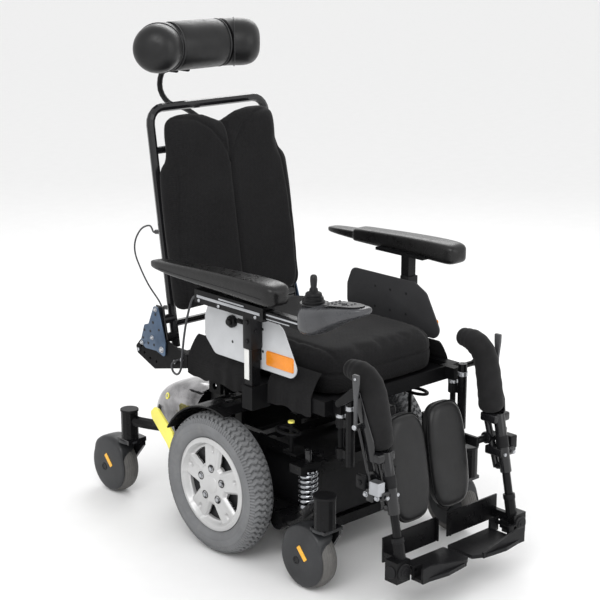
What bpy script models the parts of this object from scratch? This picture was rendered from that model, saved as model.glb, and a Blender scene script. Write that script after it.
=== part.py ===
"""Mid-wheel-drive power wheelchair with recline, tilt, swing-away elevating leg rests and a joystick.

Metres, +Z up. The chair faces -Y, and the occupant's right side is -X. Heights are above the
floor; along Y the pieces are laid out from the drive axle, and AXLE_Y moves that layout so that
the whole chair is centred on the origin.
"""

import math

import bmesh
import bpy
import mathutils

# Whole chair
AXLE_Y = 0.0165  # drive axle in the finished frame
GAP = 0.0003  # between a tyre and its rim

# Drive wheels: 14 in
WHEEL_R = 0.178
TYRE_OUT = 0.305
TYRE_IN = 0.232
RIM_R = 0.118

# Casters: 6 in
CASTER_R = 0.076
CASTER_HALF_W = 0.025
FRONT_BARREL = (0.245, -0.350)
REAR_BARREL = (0.220, 0.431)
FRONT_TRAIL = 0.049
REAR_TRAIL = 0.065

# Seat
SEAT_RAIL_X = 0.215
SEAT_RAIL_Z = 0.438
SEAT_FRONT = -0.330
SEAT_REAR = 0.235
CUSHION_TOP = 0.545
TILT_PIVOT = (0.120, 0.375)

# Back
RECLINE = math.radians(8.6)
BACK_PIVOT = (0.262, 0.450)
BACK_TUBE_X = 0.190
BACK_TUBE_R = 0.011
BACK_HEIGHT = 0.605
WING_HINGE = (0.0855, 0.466)
WING_TURN = math.radians(38)

# Arms
POST_X = 0.262
POST_Y = -0.120
PAD_X = 0.298
PAD_TOP = 0.732

# Legs
HANGER_X = 0.190
HANGER_Y = -0.345
KNEE_PIVOT = (-0.425, 0.500)
HANGER_TOP = 0.464
LEG_LEAN = math.radians(11.6)
LEG_X = 0.192
FOOT_PIVOT_X = 0.172
FOOT_PIVOT_Z = 0.108

SIDES = (("right", -1), ("left", 1))

BLACK = ("black_paint", (0.012, 0.012, 0.013), 0.38, 0.0)
PLASTIC = ("black_plastic", (0.02, 0.02, 0.022), 0.5, 0.0)
FABRIC = ("black_fabric", (0.014, 0.014, 0.015), 0.9, 0.0)
LEATHER = ("black_leatherette", (0.012, 0.012, 0.012), 0.42, 0.0)
GREY_PLASTIC = ("grey_plastic", (0.42, 0.43, 0.44), 0.55, 0.0)
POD_GREY = ("pod_grey", (0.085, 0.085, 0.09), 0.45, 0.0)
TYRE = ("grey_tyre", (0.20, 0.20, 0.205), 0.8, 0.0)
RIM = ("silver_rim", (0.66, 0.66, 0.66), 0.35, 0.6)
CHROME = ("chrome", (0.75, 0.75, 0.76), 0.12, 1.0)
YELLOW = ("yellow_plastic", (0.85, 0.55, 0.02), 0.5, 0.0)
SILVER = ("silver_shell", (0.55, 0.55, 0.56), 0.22, 0.7)
GREY_RUBBER = ("caster_rubber", (0.16, 0.155, 0.15), 0.75, 0.0)


# ---------------------------------------------------------------- scene and helpers

for old in list(bpy.data.objects):
    bpy.data.objects.remove(old, do_unlink=True)

CHAIR = bpy.data.collections.new("power_wheelchair")
bpy.context.scene.collection.children.link(CHAIR)

ROOT = bpy.data.objects.new("chair_origin", None)
ROOT.location = (0, AXLE_Y, 0)
CHAIR.objects.link(ROOT)


def material(spec):
    name, colour, roughness, metallic = spec
    found = bpy.data.materials.get(name)
    if found:
        return found
    made = bpy.data.materials.new(name)
    made.use_nodes = True
    shader = made.node_tree.nodes["Principled BSDF"]
    shader.inputs["Base Color"].default_value = (*colour, 1)
    shader.inputs["Roughness"].default_value = roughness
    shader.inputs["Metallic"].default_value = metallic
    return made


def linked(mesh, name="piece"):
    piece = bpy.data.objects.new(name, mesh)
    CHAIR.objects.link(piece)
    return piece


def evaluated_mesh(piece):
    """The piece's mesh with its modifiers and place applied, and loose caps welded."""
    bpy.context.view_layer.update()
    graph = bpy.context.evaluated_depsgraph_get()
    mesh = bpy.data.meshes.new_from_object(piece.evaluated_get(graph), depsgraph=graph)
    mesh.transform(piece.matrix_world)
    weld = bmesh.new()
    weld.from_mesh(mesh)
    bmesh.ops.remove_doubles(weld, verts=weld.verts, dist=1e-6)
    weld.to_mesh(mesh)
    weld.free()
    return mesh


def baked(piece):
    """A plain mesh object in place of the piece and its modifiers."""
    mesh = evaluated_mesh(piece)
    name = piece.name
    bpy.data.objects.remove(piece, do_unlink=True)
    return linked(mesh, name)


def boolean(piece, others, operation):
    for other in others:
        step = piece.modifiers.new("join", "BOOLEAN")
        step.operation = operation
        step.solver = "EXACT"
        step.object = other
    whole = baked(piece)
    for other in others:
        bpy.data.objects.remove(other, do_unlink=True)
    return whole


def fuse(*pieces):
    return boolean(pieces[0], pieces[1:], "UNION")


def cut(piece, *cutters):
    return boolean(piece, cutters, "DIFFERENCE")


def bevelled(piece, width, segments=1):
    step = piece.modifiers.new("edges", "BEVEL")
    step.width = width
    step.segments = segments
    step.limit_method = "ANGLE"
    return baked(piece)


def box(low, high, bevel=0.0, segments=1):
    """A box from any two opposite corners."""
    pairs = list(zip(low, high))
    low, high = mathutils.Vector(map(min, pairs)), mathutils.Vector(map(max, pairs))
    shape = bmesh.new()
    bmesh.ops.create_cube(shape, size=1.0)
    bmesh.ops.scale(shape, vec=high - low, verts=shape.verts)
    bmesh.ops.translate(shape, vec=(low + high) / 2, verts=shape.verts)
    mesh = bpy.data.meshes.new("box")
    shape.to_mesh(mesh)
    shape.free()
    piece = linked(mesh)
    return bevelled(piece, bevel, segments) if bevel else piece


def rod(start, end, radius):
    """A round bar between two points, with more sides the thicker it is."""
    sides = 8 if radius < 0.006 else 10 if radius < 0.012 else 12 if radius < 0.025 else 16
    start, end = mathutils.Vector(start), mathutils.Vector(end)
    along = end - start
    shape = bmesh.new()
    bmesh.ops.create_cone(
        shape,
        cap_ends=True,
        segments=sides,
        radius1=radius,
        radius2=radius,
        depth=along.length,
    )
    turn = along.to_track_quat("Z", "Y").to_matrix().to_4x4()
    shape.transform(mathutils.Matrix.Translation((start + end) / 2) @ turn)
    mesh = bpy.data.meshes.new("rod")
    shape.to_mesh(mesh)
    shape.free()
    return linked(mesh)


def tube(points, radius, resolution=2, smooth=4):
    """A bent bar along a smooth curve through the points."""
    path = smooth_path(points, smooth) if smooth else points
    curve = bpy.data.curves.new("tube", "CURVE")
    curve.dimensions = "3D"
    curve.bevel_depth = radius
    curve.bevel_resolution = resolution
    curve.use_fill_caps = True
    spline = curve.splines.new("POLY")
    spline.points.add(len(path) - 1)
    for point, place in zip(spline.points, path):
        point.co = (*place, 1)
    return baked(linked(curve))


def smooth_path(points, steps):
    """Catmull-Rom points through a list of points."""
    ends = [mathutils.Vector(p) for p in points]
    ends = [2 * ends[0] - ends[1], *ends, 2 * ends[-1] - ends[-2]]
    path = []
    for a, b, c, d in zip(ends, ends[1:], ends[2:], ends[3:]):
        for step in range(steps):
            t = step / steps
            path.append(
                0.5 * (2 * b + (c - a) * t + (2 * a - 5 * b + 4 * c - d) * t**2
                       + (3 * b - a - 3 * c + d) * t**3)
            )
    return [*path, ends[-2]]


def turned(profile, axis, centre, sides=32):
    """A solid turned about an axis through centre; profile lists (radius, place along the axis)."""
    shape = bmesh.new()
    corners = [shape.verts.new((radius, 0, along)) for radius, along in profile]
    for first, second in zip(corners, corners[1:]):
        shape.edges.new((first, second))
    mesh = bpy.data.meshes.new("profile")
    shape.to_mesh(mesh)
    shape.free()
    piece = linked(mesh)
    screw = piece.modifiers.new("turn", "SCREW")
    screw.steps = screw.render_steps = sides
    screw.use_merge_vertices = True
    screw.merge_threshold = 0.0001
    turn = mathutils.Vector(axis).to_track_quat("Z", "Y").to_matrix().to_4x4()
    piece.matrix_world = mathutils.Matrix.Translation(centre) @ turn
    whole = baked(piece)
    return outward(whole)


def outward(piece):
    """Faces turned outwards."""
    shape = bmesh.new()
    shape.from_mesh(piece.data)
    bmesh.ops.recalc_face_normals(shape, faces=shape.faces)
    if shape.calc_volume(signed=True) < 0:
        bmesh.ops.reverse_faces(shape, faces=shape.faces)
    shape.to_mesh(piece.data)
    shape.free()
    return piece


def plate(outline, low, high, across="x", bevel=0.0):
    """A flat plate: an outline of (a, b) points, spread from low to high across the named axis."""
    shape = bmesh.new()
    places = {
        "x": lambda a, b: (low, a, b),
        "y": lambda a, b: (a, low, b),
        "z": lambda a, b: (a, b, low),
    }
    face = shape.faces.new([shape.verts.new(places[across](a, b)) for a, b in outline])
    grown = bmesh.ops.extrude_face_region(shape, geom=[face])
    moved = [v for v in grown["geom"] if isinstance(v, bmesh.types.BMVert)]
    step = [high - low if letter == across else 0.0 for letter in "xyz"]
    bmesh.ops.translate(shape, vec=step, verts=moved)
    mesh = bpy.data.meshes.new("plate")
    shape.to_mesh(mesh)
    shape.free()
    piece = outward(linked(mesh))
    return bevelled(piece, bevel) if bevel else piece


def loft(rings):
    """A closed solid through rings of points, with both ends filled."""
    count = len(rings[0])
    points = [point for ring in rings for point in ring]
    faces = [tuple(range(count)), tuple(range(len(points) - count, len(points)))]
    for row in range(len(rings) - 1):
        low, high = row * count, (row + 1) * count
        for i in range(count):
            j = (i + 1) % count
            faces.append((low + i, low + j, high + j, high + i))
    mesh = bpy.data.meshes.new("loft")
    mesh.from_pydata(points, [], faces)
    piece = linked(mesh)
    outward(piece)
    return piece


def rounded(corners, radius, steps=4):
    """An outline whose corners are rounded by arcs."""
    outline = []
    count = len(corners)
    for i, corner in enumerate(corners):
        here = mathutils.Vector(corner)
        back = (mathutils.Vector(corners[i - 1]) - here).normalized()
        ahead = (mathutils.Vector(corners[(i + 1) % count]) - here).normalized()
        half = math.acos(max(-1, min(1, back.dot(ahead)))) / 2
        reach = radius / math.tan(half)
        middle = here + (back + ahead).normalized() * radius / math.sin(half)
        start = here + back * reach - middle
        end = here + ahead * reach - middle
        for step in range(steps + 1):
            outline.append(tuple(middle + start.slerp(end, step / steps).normalized() * radius))
    return outline


def arc(centre, radius, start, end, steps):
    """Points on an arc, angles in degrees from the first axis."""
    turn = [math.radians(start + (end - start) * i / steps) for i in range(steps + 1)]
    return [(centre[0] + radius * math.cos(t), centre[1] + radius * math.sin(t)) for t in turn]


def node(piece, name, spec, origin=(0, 0, 0), smooth=True):
    """Names a finished piece, gives it its material and puts its origin on its joint."""
    origin = mathutils.Vector(origin)
    piece.data.transform(mathutils.Matrix.Translation(-origin))
    piece.name = piece.data.name = name
    piece.parent = ROOT
    piece.location = origin
    piece.data.materials.clear()
    piece.data.materials.append(material(spec))
    if smooth:
        piece.data.shade_smooth()
        piece.data.set_sharp_from_angle(angle=math.radians(35))
    return piece


# ---------------------------------------------------------------- base


def chassis():
    """Welded base: two side rails, cross members, seat tower, shock towers and rear caster arms."""
    parts = [box((-0.150, -0.215, 0.070), (0.150, 0.330, 0.095))]
    for _, s in SIDES:
        parts.append(box((s * 0.153 - 0.009, -0.235, 0.085), (s * 0.153 + 0.009, 0.335, 0.135)))
        parts.append(box((s * 0.153 - 0.009, -0.235, 0.255), (s * 0.153 + 0.009, 0.335, 0.285)))
        for y in (-0.222, 0.322):
            parts.append(box((s * 0.153 - 0.009, y - 0.012, 0.130), (s * 0.153 + 0.009, y + 0.012, 0.260)))
        parts += [
            box((s * 0.153 - 0.010, -0.030, 0.125), (s * 0.153 + 0.010, 0.030, 0.260)),
            # seat tower beside the tilt pivot
            box((s * 0.153 - 0.008, 0.080, 0.280), (s * 0.153 + 0.008, 0.160, 0.352)),
            rod((s * 0.118, *TILT_PIVOT), (s * 0.163, *TILT_PIVOT), 0.008),
            box((s * 0.153 - 0.0072, 0.106, 0.345), (s * 0.153 + 0.0072, 0.134, 0.389)),
            # shock tower and its crossways pin
            box((s * 0.157, -0.262, 0.260), (s * 0.238, -0.222, 0.281)),
            rod((s * 0.2, -0.246, 0.225), (s * 0.2, -0.246, 0.305), 0.0075),
            *fender(s),
            # rear caster arm and barrel
            tube([(s * 0.150, 0.322, 0.205), (s * 0.178, 0.345, 0.210), (s * 0.206, 0.385, 0.214),
                  (s * REAR_BARREL[0], REAR_BARREL[1], 0.215)], 0.015),
            rod((s * REAR_BARREL[0], REAR_BARREL[1], 0.166), (s * REAR_BARREL[0], REAR_BARREL[1], 0.246),
                0.023),
        ]
    parts += [
        box((-0.160, -0.240, 0.235), (0.160, -0.215, 0.262)),
        box((-0.160, 0.318, 0.262), (0.160, 0.340, 0.282)),
        box((-0.160, -0.052, 0.268), (0.160, -0.028, 0.288)),
        rod((-0.060, *ACTUATOR_BASE), (-0.003, *ACTUATOR_BASE), 0.007),
        box((-0.060, ACTUATOR_BASE[0] - 0.012, 0.268),
            (-0.044, ACTUATOR_BASE[0] + 0.012, ACTUATOR_BASE[1] + 0.010)),
    ]
    frame = fuse(*parts)
    bores = []
    for _, s in SIDES:
        # room for the rear caster wheel to swing round
        bores.append(rod((s * REAR_BARREL[0], REAR_BARREL[1], 0.04), (s * REAR_BARREL[0], REAR_BARREL[1], 0.1545),
                         0.1450))
        bores.append(rod((s * REAR_BARREL[0], REAR_BARREL[1], 0.15),
                         (s * REAR_BARREL[0], REAR_BARREL[1], 0.226), 0.0135))
        bores.append(rod((s * 0.135, *ARM_PIVOT), (s * 0.20, *ARM_PIVOT), 0.0108))
    node(cut(frame, *bores), "chassis_frame", BLACK)


ACTUATOR_BASE = (-0.040, 0.306)
ACTUATOR_TOP = (-0.165, 0.402)
ARM_PIVOT = (-0.160, 0.112)


def battery_box():
    """Two batteries strapped together between the side rails."""
    parts = [box((-0.128, -0.120, 0.110), (0.128, 0.200, 0.135))]
    for low, high in ((-0.205, 0.050), (0.056, 0.312)):
        parts.append(box((-0.130, low, 0.0955), (0.130, high, 0.255), 0.006))
        parts += [rod((s * 0.09, low + 0.03, 0.25), (s * 0.09, low + 0.03, 0.2625), 0.006) for s in (-1, 1)]
    node(fuse(*parts), "battery_box", POD_GREY)


def shroud():
    """Rear cover: a thin shell with cheeks, sloping down behind the seat to the back of the base."""
    slope = [(0.352, 0.150), (0.392, 0.235), (0.372, 0.275), (0.290, 0.330), (0.190, 0.352)]
    foot = [(0.190, 0.298), (0.330, 0.298), (0.344, 0.284), (0.344, 0.150)]
    cover = plate(slope + foot, -0.142, 0.142, "x")
    slope = [(0.3475, 0.140), (0.387, 0.235), (0.368, 0.272), (0.288, 0.3255), (0.180, 0.348)]
    foot = [(0.180, 0.290), (0.331, 0.290), (0.340, 0.280), (0.340, 0.140)]
    hollow = plate(slope + foot, -0.138, 0.138, "x")
    node(cut(cover, hollow), "rear_shroud", SILVER)


def control_module():
    case = box((0.045, -0.205, 0.2925), (0.140, -0.075, 0.332), 0.006, 2)
    feet = [box((0.128, y - 0.012, 0.2857), (0.160, y + 0.012, 0.2965)) for y in (-0.180, -0.100)]
    node(fuse(case, *feet), "control_module", PLASTIC)


def motor(side, s):
    gearbox = turned([(0, 0.0), (0.040, 0.0), (0.048, 0.006), (0.048, 0.040), (0.030, 0.046), (0, 0.046)],
                     (s, 0, 0), (s * 0.1635, 0, WHEEL_R), 16)
    axle = rod((s * 0.205, 0, WHEEL_R), (s * 0.2865, 0, WHEEL_R), 0.0125)
    can = rod((s * 0.197, 0.03, WHEEL_R), (s * 0.197, 0.190, WHEEL_R), 0.030)
    cap = rod((s * 0.197, 0.185, WHEEL_R), (s * 0.197, 0.232, WHEEL_R), 0.024)
    node(fuse(gearbox, axle, can, cap), f"motor_{side}", BLACK, (s * 0.19, 0, WHEEL_R))


def fender(s):
    """Thin arch over the drive tyre, with a stay down to the base."""
    outer = arc((0, WHEEL_R), 0.198, 32, 106, 8)
    inner = arc((0, WHEEL_R), 0.194, 106, 32, 8)
    arch = plate(outer + inner, *sorted((s * 0.214, s * 0.298)), "x")
    stay = box((s * 0.148, 0.045, 0.358), (s * 0.226, 0.070, 0.3655))
    drop = box((s * 0.1485, 0.0455, 0.275), (s * 0.157, 0.0695, 0.364))
    return arch, stay, drop


def drive_wheel(side, s):
    """Five-spoke rim and its solid tyre, both turned about the drive axle."""
    hub = (s * TYRE_OUT, 0, WHEEL_R)
    lip = RIM_R - GAP
    profile = [(0, -0.012), (0.024, -0.012), (0.096, -0.018), (0.104, -0.006), (lip, -0.006),
               (0.108, -0.016),
               (0.108, -0.058), (lip, -0.068), (0.100, -0.068), (0.100, -0.034), (0.032, -0.034),
               (0.030, -0.056),
               (0, -0.056)]
    rim = turned(profile, (-1, 0, 0), (-TYRE_OUT, 0, WHEEL_R), 24)
    cutters = [rod((-0.24, 0, WHEEL_R), (-0.2875, 0, WHEEL_R), 0.0132)]
    for i in range(5):
        turn = math.radians(90 + 36 + 72 * i)
        window = []
        for radius, spread in ((0.046, 4), (0.046, -4), (0.087, -14), (0.089, 0.5), (0.087, 14)):
            angle = turn + math.radians(spread)
            window.append((radius * math.cos(angle), WHEEL_R + radius * math.sin(angle)))
        cutters.append(plate(window, -0.32, -0.26, "x"))
    rim = cut(rim, *cutters)
    if s > 0:
        rim.data.transform(mathutils.Matrix.Diagonal((-1, 1, 1, 1)))
        outward(rim)
    node(rim, f"rim_{side}", RIM, hub)
    half = (TYRE_OUT - TYRE_IN) / 2
    ring = [(RIM_R, half - 0.012), (0.140, half), (0.166, half - 0.007), (WHEEL_R, half - 0.022)]
    ring += [(radius, -along) for radius, along in reversed(ring)]
    tyre = turned([*ring, ring[0]], (s, 0, 0), (s * (TYRE_OUT + TYRE_IN) / 2, 0, WHEEL_R), 32)
    node(tyre, f"tyre_{side}", TYRE, hub)


def front_arm(side, s):
    """Suspension arm from its pivot on the base to the front caster barrel, with the shock's foot."""
    x, y = FRONT_BARREL[0] * s, FRONT_BARREL[1]
    parts = [
        rod((s * 0.1675, *ARM_PIVOT), (s * 0.224, *ARM_PIVOT), 0.022),
        rod((s * 0.140, *ARM_PIVOT), (s * 0.17, *ARM_PIVOT), 0.010),
        tube([(s * 0.200, -0.165, 0.112), (s * 0.202, -0.218, 0.130), (s * 0.225, -0.295, 0.190),
              (x, y, 0.205)], 0.0155),
        rod((x, y, 0.162), (x, y, 0.240), 0.026),
        box((s * 0.200 - 0.016, -0.262, 0.142), (s * 0.200 + 0.016, -0.226, 0.170), 0.003),
        rod((s * 0.2, -0.246, 0.165), (s * 0.2, -0.246, 0.210), 0.005),
    ]
    arm = cut(fuse(*parts), rod((x, y, 0.15), (x, y, 0.220), 0.0135))
    node(arm, f"front_arm_{side}", BLACK, (s * 0.2, *ARM_PIVOT))


def shock(side, s):
    """Coil spring round its damper."""
    coil, turns, steps = [], 5, 8
    for i in range(turns * steps + 1):
        turn = 2 * math.pi * i / steps
        coil.append((s * 0.2 + 0.0185 * math.cos(turn), -0.246 + 0.0185 * math.sin(turn),
                     0.180 + 0.076 * i / (turns * steps)))
    node(tube(coil, 0.0032, 0, 0), f"shock_spring_{side}", CHROME, (s * 0.2, -0.246, 0.26))


def caster(side, end, s, barrel, trail):
    """Single-leg swivel fork with its stem in the barrel, and the wheel on its stub axle."""
    x, y = barrel[0] * s, barrel[1]
    centre = (x, y + trail, CASTER_R)
    leg_in, leg_out = sorted((x - s * 0.0285, x - s * 0.0365))
    stem_top = 0.2195 if end == "front" else 0.2255
    crown_top = 0.1612 if end == "front" else 0.1652
    crown = [(y + 0.026, 0.153), (y - 0.022, 0.153), (y - 0.022, crown_top), (y + 0.026, crown_top)]
    leg = [(y + trail + 0.015, 0.066), (y + trail + 0.015, 0.090), (y + 0.026, crown_top),
           (y - 0.018, crown_top), (y - 0.018, 0.140), (y + trail - 0.016, 0.062)]
    wide = sorted((x + s * 0.022, x - s * 0.0365))
    parts = [
        plate(crown, wide[0], wide[1], "x"),
        plate(leg, leg_in, leg_out, "x"),
        rod((x, y, 0.155), (x, y, stem_top - 0.001), 0.0130),
        rod((x - s * 0.033, *centre[1:]), (x + s * 0.018, *centre[1:]), 0.0070),
        rod((x, y, crown_top - 0.002), (x, y, crown_top + 0.0004), 0.020),
    ]
    node(fuse(*parts), f"caster_fork_{end}_{side}", BLACK, (x, y, 0.2))
    half, r = CASTER_HALF_W, CASTER_R
    profile = [(0, half - 0.003), (0.054, half - 0.001), (0.068, half - 0.004), (r, half - 0.013),
               (r, 0.013 - half), (0.068, 0.004 - half), (0.054, 0.001 - half), (0, 0.003 - half)]
    wheel = turned(profile, (s, 0, 0), centre, 20)
    bore = rod((x - s * 0.04, *centre[1:]), (x + s * 0.0184, *centre[1:]), 0.0074)
    node(cut(wheel, bore), f"caster_wheel_{end}_{side}", GREY_RUBBER, centre)


def freewheel_lever(side, s):
    """Yellow paddle that disengages the motor, hinged on the motor's end."""
    x = s * 0.238
    blade = [(0.2065, 0.178), (0.2175, 0.178), (0.236, 0.222), (0.294, 0.272), (0.286, 0.281),
             (0.226, 0.232)]
    paddle = plate(blade, *sorted((x - s * 0.004, x + s * 0.004)), "x", 0.0015)
    pivot = rod((s * 0.2225, 0.212, 0.182), (x + s * 0.005, 0.212, 0.182), 0.0085)
    node(fuse(paddle, pivot), f"freewheel_lever_{side}", YELLOW, (x, 0.212, 0.182))


# ---------------------------------------------------------------- seat


def seat_frame():
    """Two side rails and cross tubes, the pan, the tilt lugs, and the sockets for arms and leg rests."""
    z, x = SEAT_RAIL_Z, SEAT_RAIL_X
    parts = [box((-0.205, -0.300, z + 0.002), (0.205, SEAT_REAR - 0.003, z + 0.006))]
    for _, s in SIDES:
        parts += [
            box((s * x - 0.0125, SEAT_FRONT, z - 0.0175), (s * x + 0.0125, SEAT_REAR, z + 0.0175)),
            # tilt lug outside the seat tower
            box((s * 0.176 - 0.005, 0.098, 0.357), (s * 0.176 + 0.005, 0.142, z)),
            # arm socket
            box((s * 0.222, POST_Y - 0.018, 0.398), (s * (POST_X + 0.0175), POST_Y + 0.018, 0.455)),
            # leg rest socket: a lug with an upright pin
            box((s * HANGER_X - 0.012, HANGER_Y - 0.012, 0.425), (s * HANGER_X + 0.012, -0.310, 0.4555)),
            rod((s * HANGER_X, HANGER_Y, 0.310), (s * HANGER_X, HANGER_Y, 0.430), 0.007),
        ]
        parts.append(recline_quadrant(s))
    for y in (SEAT_FRONT + 0.0140, -0.121, 0.121, SEAT_REAR - 0.0140):
        parts.append(box((-0.209, y - 0.0125, z - 0.0165), (0.209, y + 0.0125, z + 0.0035)))
    lug_y, lug_z = ACTUATOR_TOP
    parts += [
        # lip that keeps the cushion from sliding forwards
        box((-0.2085, SEAT_FRONT + 0.001, z), (0.2085, SEAT_FRONT + 0.007, z + 0.0168)),
        box((-0.034, lug_y - 0.012, lug_z - 0.012), (-0.026, lug_y + 0.030, z)),
        box((-0.034, lug_y - 0.012, z - 0.016), (0.034, POST_Y, z - 0.008)),
    ]
    frame = fuse(*parts)
    cutters = []
    for _, s in SIDES:
        cutters.append(
            box(
                (s * POST_X - 0.0136, POST_Y - 0.0136, 0.38),
                (s * POST_X + 0.0136, POST_Y + 0.0136, 0.50),
            )
        )
        cutters.append(rod((s * 0.165, *TILT_PIVOT), (s * 0.19, *TILT_PIVOT), 0.0087))
    node(cut(frame, *cutters), "seat_frame", BLACK, (0, *TILT_PIVOT))


def recline_quadrant(s):
    """Perforated upright plate behind the rail that carries the back's hinge."""
    outline = [(0.165, 0.422), (0.300, 0.390), (0.372, 0.418), (0.378, 0.436), (0.330, 0.485),
               (0.262, 0.478), (0.165, 0.455)]
    quadrant = plate(rounded(outline, 0.006, 2), *sorted((s * 0.2250, s * 0.2310)), "x")
    holes = [rod((s * 0.22, y, z), (s * 0.24, y, z), 0.0045)
             for y, z in ((0.292, 0.410), (0.318, 0.414), (0.342, 0.424), (0.354, 0.440), (0.335, 0.456))]
    holes.append(rod((s * 0.22, *BACK_PIVOT), (s * 0.24, *BACK_PIVOT), 0.0064))
    return cut(quadrant, *holes)


def tilt_actuator():
    base, top = mathutils.Vector((0, *ACTUATOR_BASE)), mathutils.Vector((0, *ACTUATOR_TOP))
    along = (top - base).normalized()
    body = fuse(
        rod(base + along * 0.002, base + along * 0.098, 0.017),
        rod((-0.0155, *ACTUATOR_BASE), (0.0155, *ACTUATOR_BASE), 0.0135),
        rod(base + along * 0.02 + mathutils.Vector((0.022, 0, 0)),
            base + along * 0.085 + mathutils.Vector((0.022, 0, 0)), 0.015),
    )
    bore = rod(base + along * 0.016, base + along * 0.12, 0.0095)
    pin = rod((-0.02, *ACTUATOR_BASE), (-0.0005, *ACTUATOR_BASE), 0.0074)
    node(cut(body, bore, pin), "tilt_actuator_body", PLASTIC, base)
    ram = fuse(
        rod(base + along * 0.018, top - along * 0.002, 0.0085),
        rod((-0.0245, *ACTUATOR_TOP), (0.010, *ACTUATOR_TOP), 0.0105),
    )
    node(ram, "tilt_actuator_ram", CHROME, base)


def cushion():
    """Seat cushion: a block with rounded corners that sits on the pan between the rails."""
    corners = [(-0.196, SEAT_FRONT + 0.012), (0.196, SEAT_FRONT + 0.012), (0.196, 0.205), (-0.196, 0.205)]
    block = plate(rounded(corners, 0.05, 3), SEAT_RAIL_Z + 0.0065, CUSHION_TOP, "z")
    node(bevelled(block, 0.022), "seat_cushion", FABRIC)


# ---------------------------------------------------------------- back and headrest


def up_back(x, along, forward=0.0):
    """A point of the upright back: along it from its hinge, and forward of its tubes."""
    y = BACK_PIVOT[0] + along * math.sin(RECLINE) - forward * math.cos(RECLINE)
    z = BACK_PIVOT[1] + along * math.cos(RECLINE) + forward * math.sin(RECLINE)
    return (x, y, z)


def back_frame():
    """One tube up both sides and over the top, with hinge plates, cross bar and headrest socket."""
    r = BACK_TUBE_R
    bend, top = 0.040, BACK_HEIGHT - 0.040
    path = [(-BACK_TUBE_X, 0.0), *arc((bend - BACK_TUBE_X, top), bend, 180, 90, 5),
            *arc((BACK_TUBE_X - bend, top), bend, 90, 0, 5), (BACK_TUBE_X, 0.0)]
    parts = [tube([up_back(*p) for p in path], r, 2, 0)]
    for _, s in SIDES:
        ear = [(-0.014, -0.016), (0.016, -0.016), (0.022, 0.110), (-0.010, 0.110)]
        ear = [(BACK_PIVOT[0] + b * math.sin(RECLINE) + a, BACK_PIVOT[1] + b * math.cos(RECLINE))
               for a, b in ear]
        parts += [
            plate(ear, *sorted((s * 0.2185, s * 0.2245)), "x", 0.002),
            rod((s * 0.2205, *BACK_PIVOT), (s * 0.236, *BACK_PIVOT), 0.0058),
            rod(up_back(s * 0.185, 0.075), up_back(s * 0.222, 0.075), 0.012),
            rod(up_back(s * 0.185, 0.028), up_back(s * 0.222, 0.028), 0.012),
        ]
    parts += [
        # cable stops on the back of the right tube
        rod(up_back(-BACK_TUBE_X, 0.295), up_back(-BACK_TUBE_X, 0.295, -0.030), 0.006),
        rod(up_back(-BACK_TUBE_X, 0.100), up_back(-BACK_TUBE_X, 0.100, -0.030), 0.006),
        rod(up_back(-0.19, 0.50), up_back(0.19, 0.50), 0.0095),
        rod(up_back(-0.19, 0.06), up_back(0.19, 0.06), 0.0095),
    ]
    socket_low, socket_high = up_back(0, 0.465, -0.020), up_back(0, 0.530, -0.020)
    parts.append(rod(socket_low, socket_high, 0.016))
    bore = rod(up_back(0, 0.45, -0.022), up_back(0, 0.55, -0.022), 0.0079)
    node(cut(fuse(*parts), bore), "back_frame", BLACK, (0, *BACK_PIVOT))


def back_cushion():
    """Two-lobed back cushion, narrower above the shoulders, straight below."""
    outline = [(-0.232, 0.085), (0.232, 0.085), (0.234, 0.300), (0.226, 0.452), (0.190, 0.482),
               (0.184, 0.588),
               (0.110, 0.594), (0.0, 0.570), (-0.110, 0.594), (-0.184, 0.588), (-0.190, 0.482),
               (-0.226, 0.452),
               (-0.234, 0.300)]
    shape = plate(rounded(outline, 0.010, 1), 0.016, 0.068, "y")
    shape.data.transform(mathutils.Matrix.Diagonal((1, -1, 1, 1)))
    outward(shape)
    shape = bevelled(shape, 0.012)
    turn = mathutils.Matrix.Rotation(-RECLINE, 4, "X")
    shape.data.transform(mathutils.Matrix.Translation((0, *BACK_PIVOT)) @ turn)
    node(shape, "back_cushion", FABRIC)


def headrest():
    """Swan-necked stem in the back's socket, a pivot ball, the centre bolster and two hinged wings."""
    stem = tube(
        [up_back(0, 0.38, -0.022), up_back(0, 0.46, -0.022), up_back(0, 0.532, -0.022),
         up_back(0, 0.556, -0.027), (0, 0.445, 1.022), (0, 0.515, 1.030), (0, 0.552, 1.062),
         (0, 0.545, 1.105), (0, 0.505, 1.133), (0, 0.492, 1.136)],
        0.0074, 2, 3)
    ball = rod((-0.011, 0.486, 1.136), (0.011, 0.486, 1.136), 0.014)
    node(fuse(stem, ball), "headrest_stem", BLACK, (0, 0.486, 1.136))
    centre = (0.405, 1.192)
    bolster = turned([(0, -0.083), (0.050, -0.083), (0.061, -0.074), (0.062, 0.074), (0.050, 0.083),
                      (0, 0.083)],
                     (1, 0, 0), (0, *centre), 20)
    lug = box((-0.024, 0.452, 1.116), (-0.0135, 0.500, 1.158), 0.002)
    lug2 = box((0.0135, 0.452, 1.116), (0.024, 0.500, 1.158), 0.002)
    web = box((-0.024, 0.440, 1.140), (0.024, 0.464, 1.180), 0.002)
    node(fuse(bolster, web, lug, lug2), "headrest_pad", LEATHER, (0, 0.486, 1.136))
    for side, s in SIDES:
        node(headrest_wing(s, centre), f"headrest_wing_{side}", LEATHER,
             (s * WING_HINGE[0], WING_HINGE[1], centre[1]))


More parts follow.
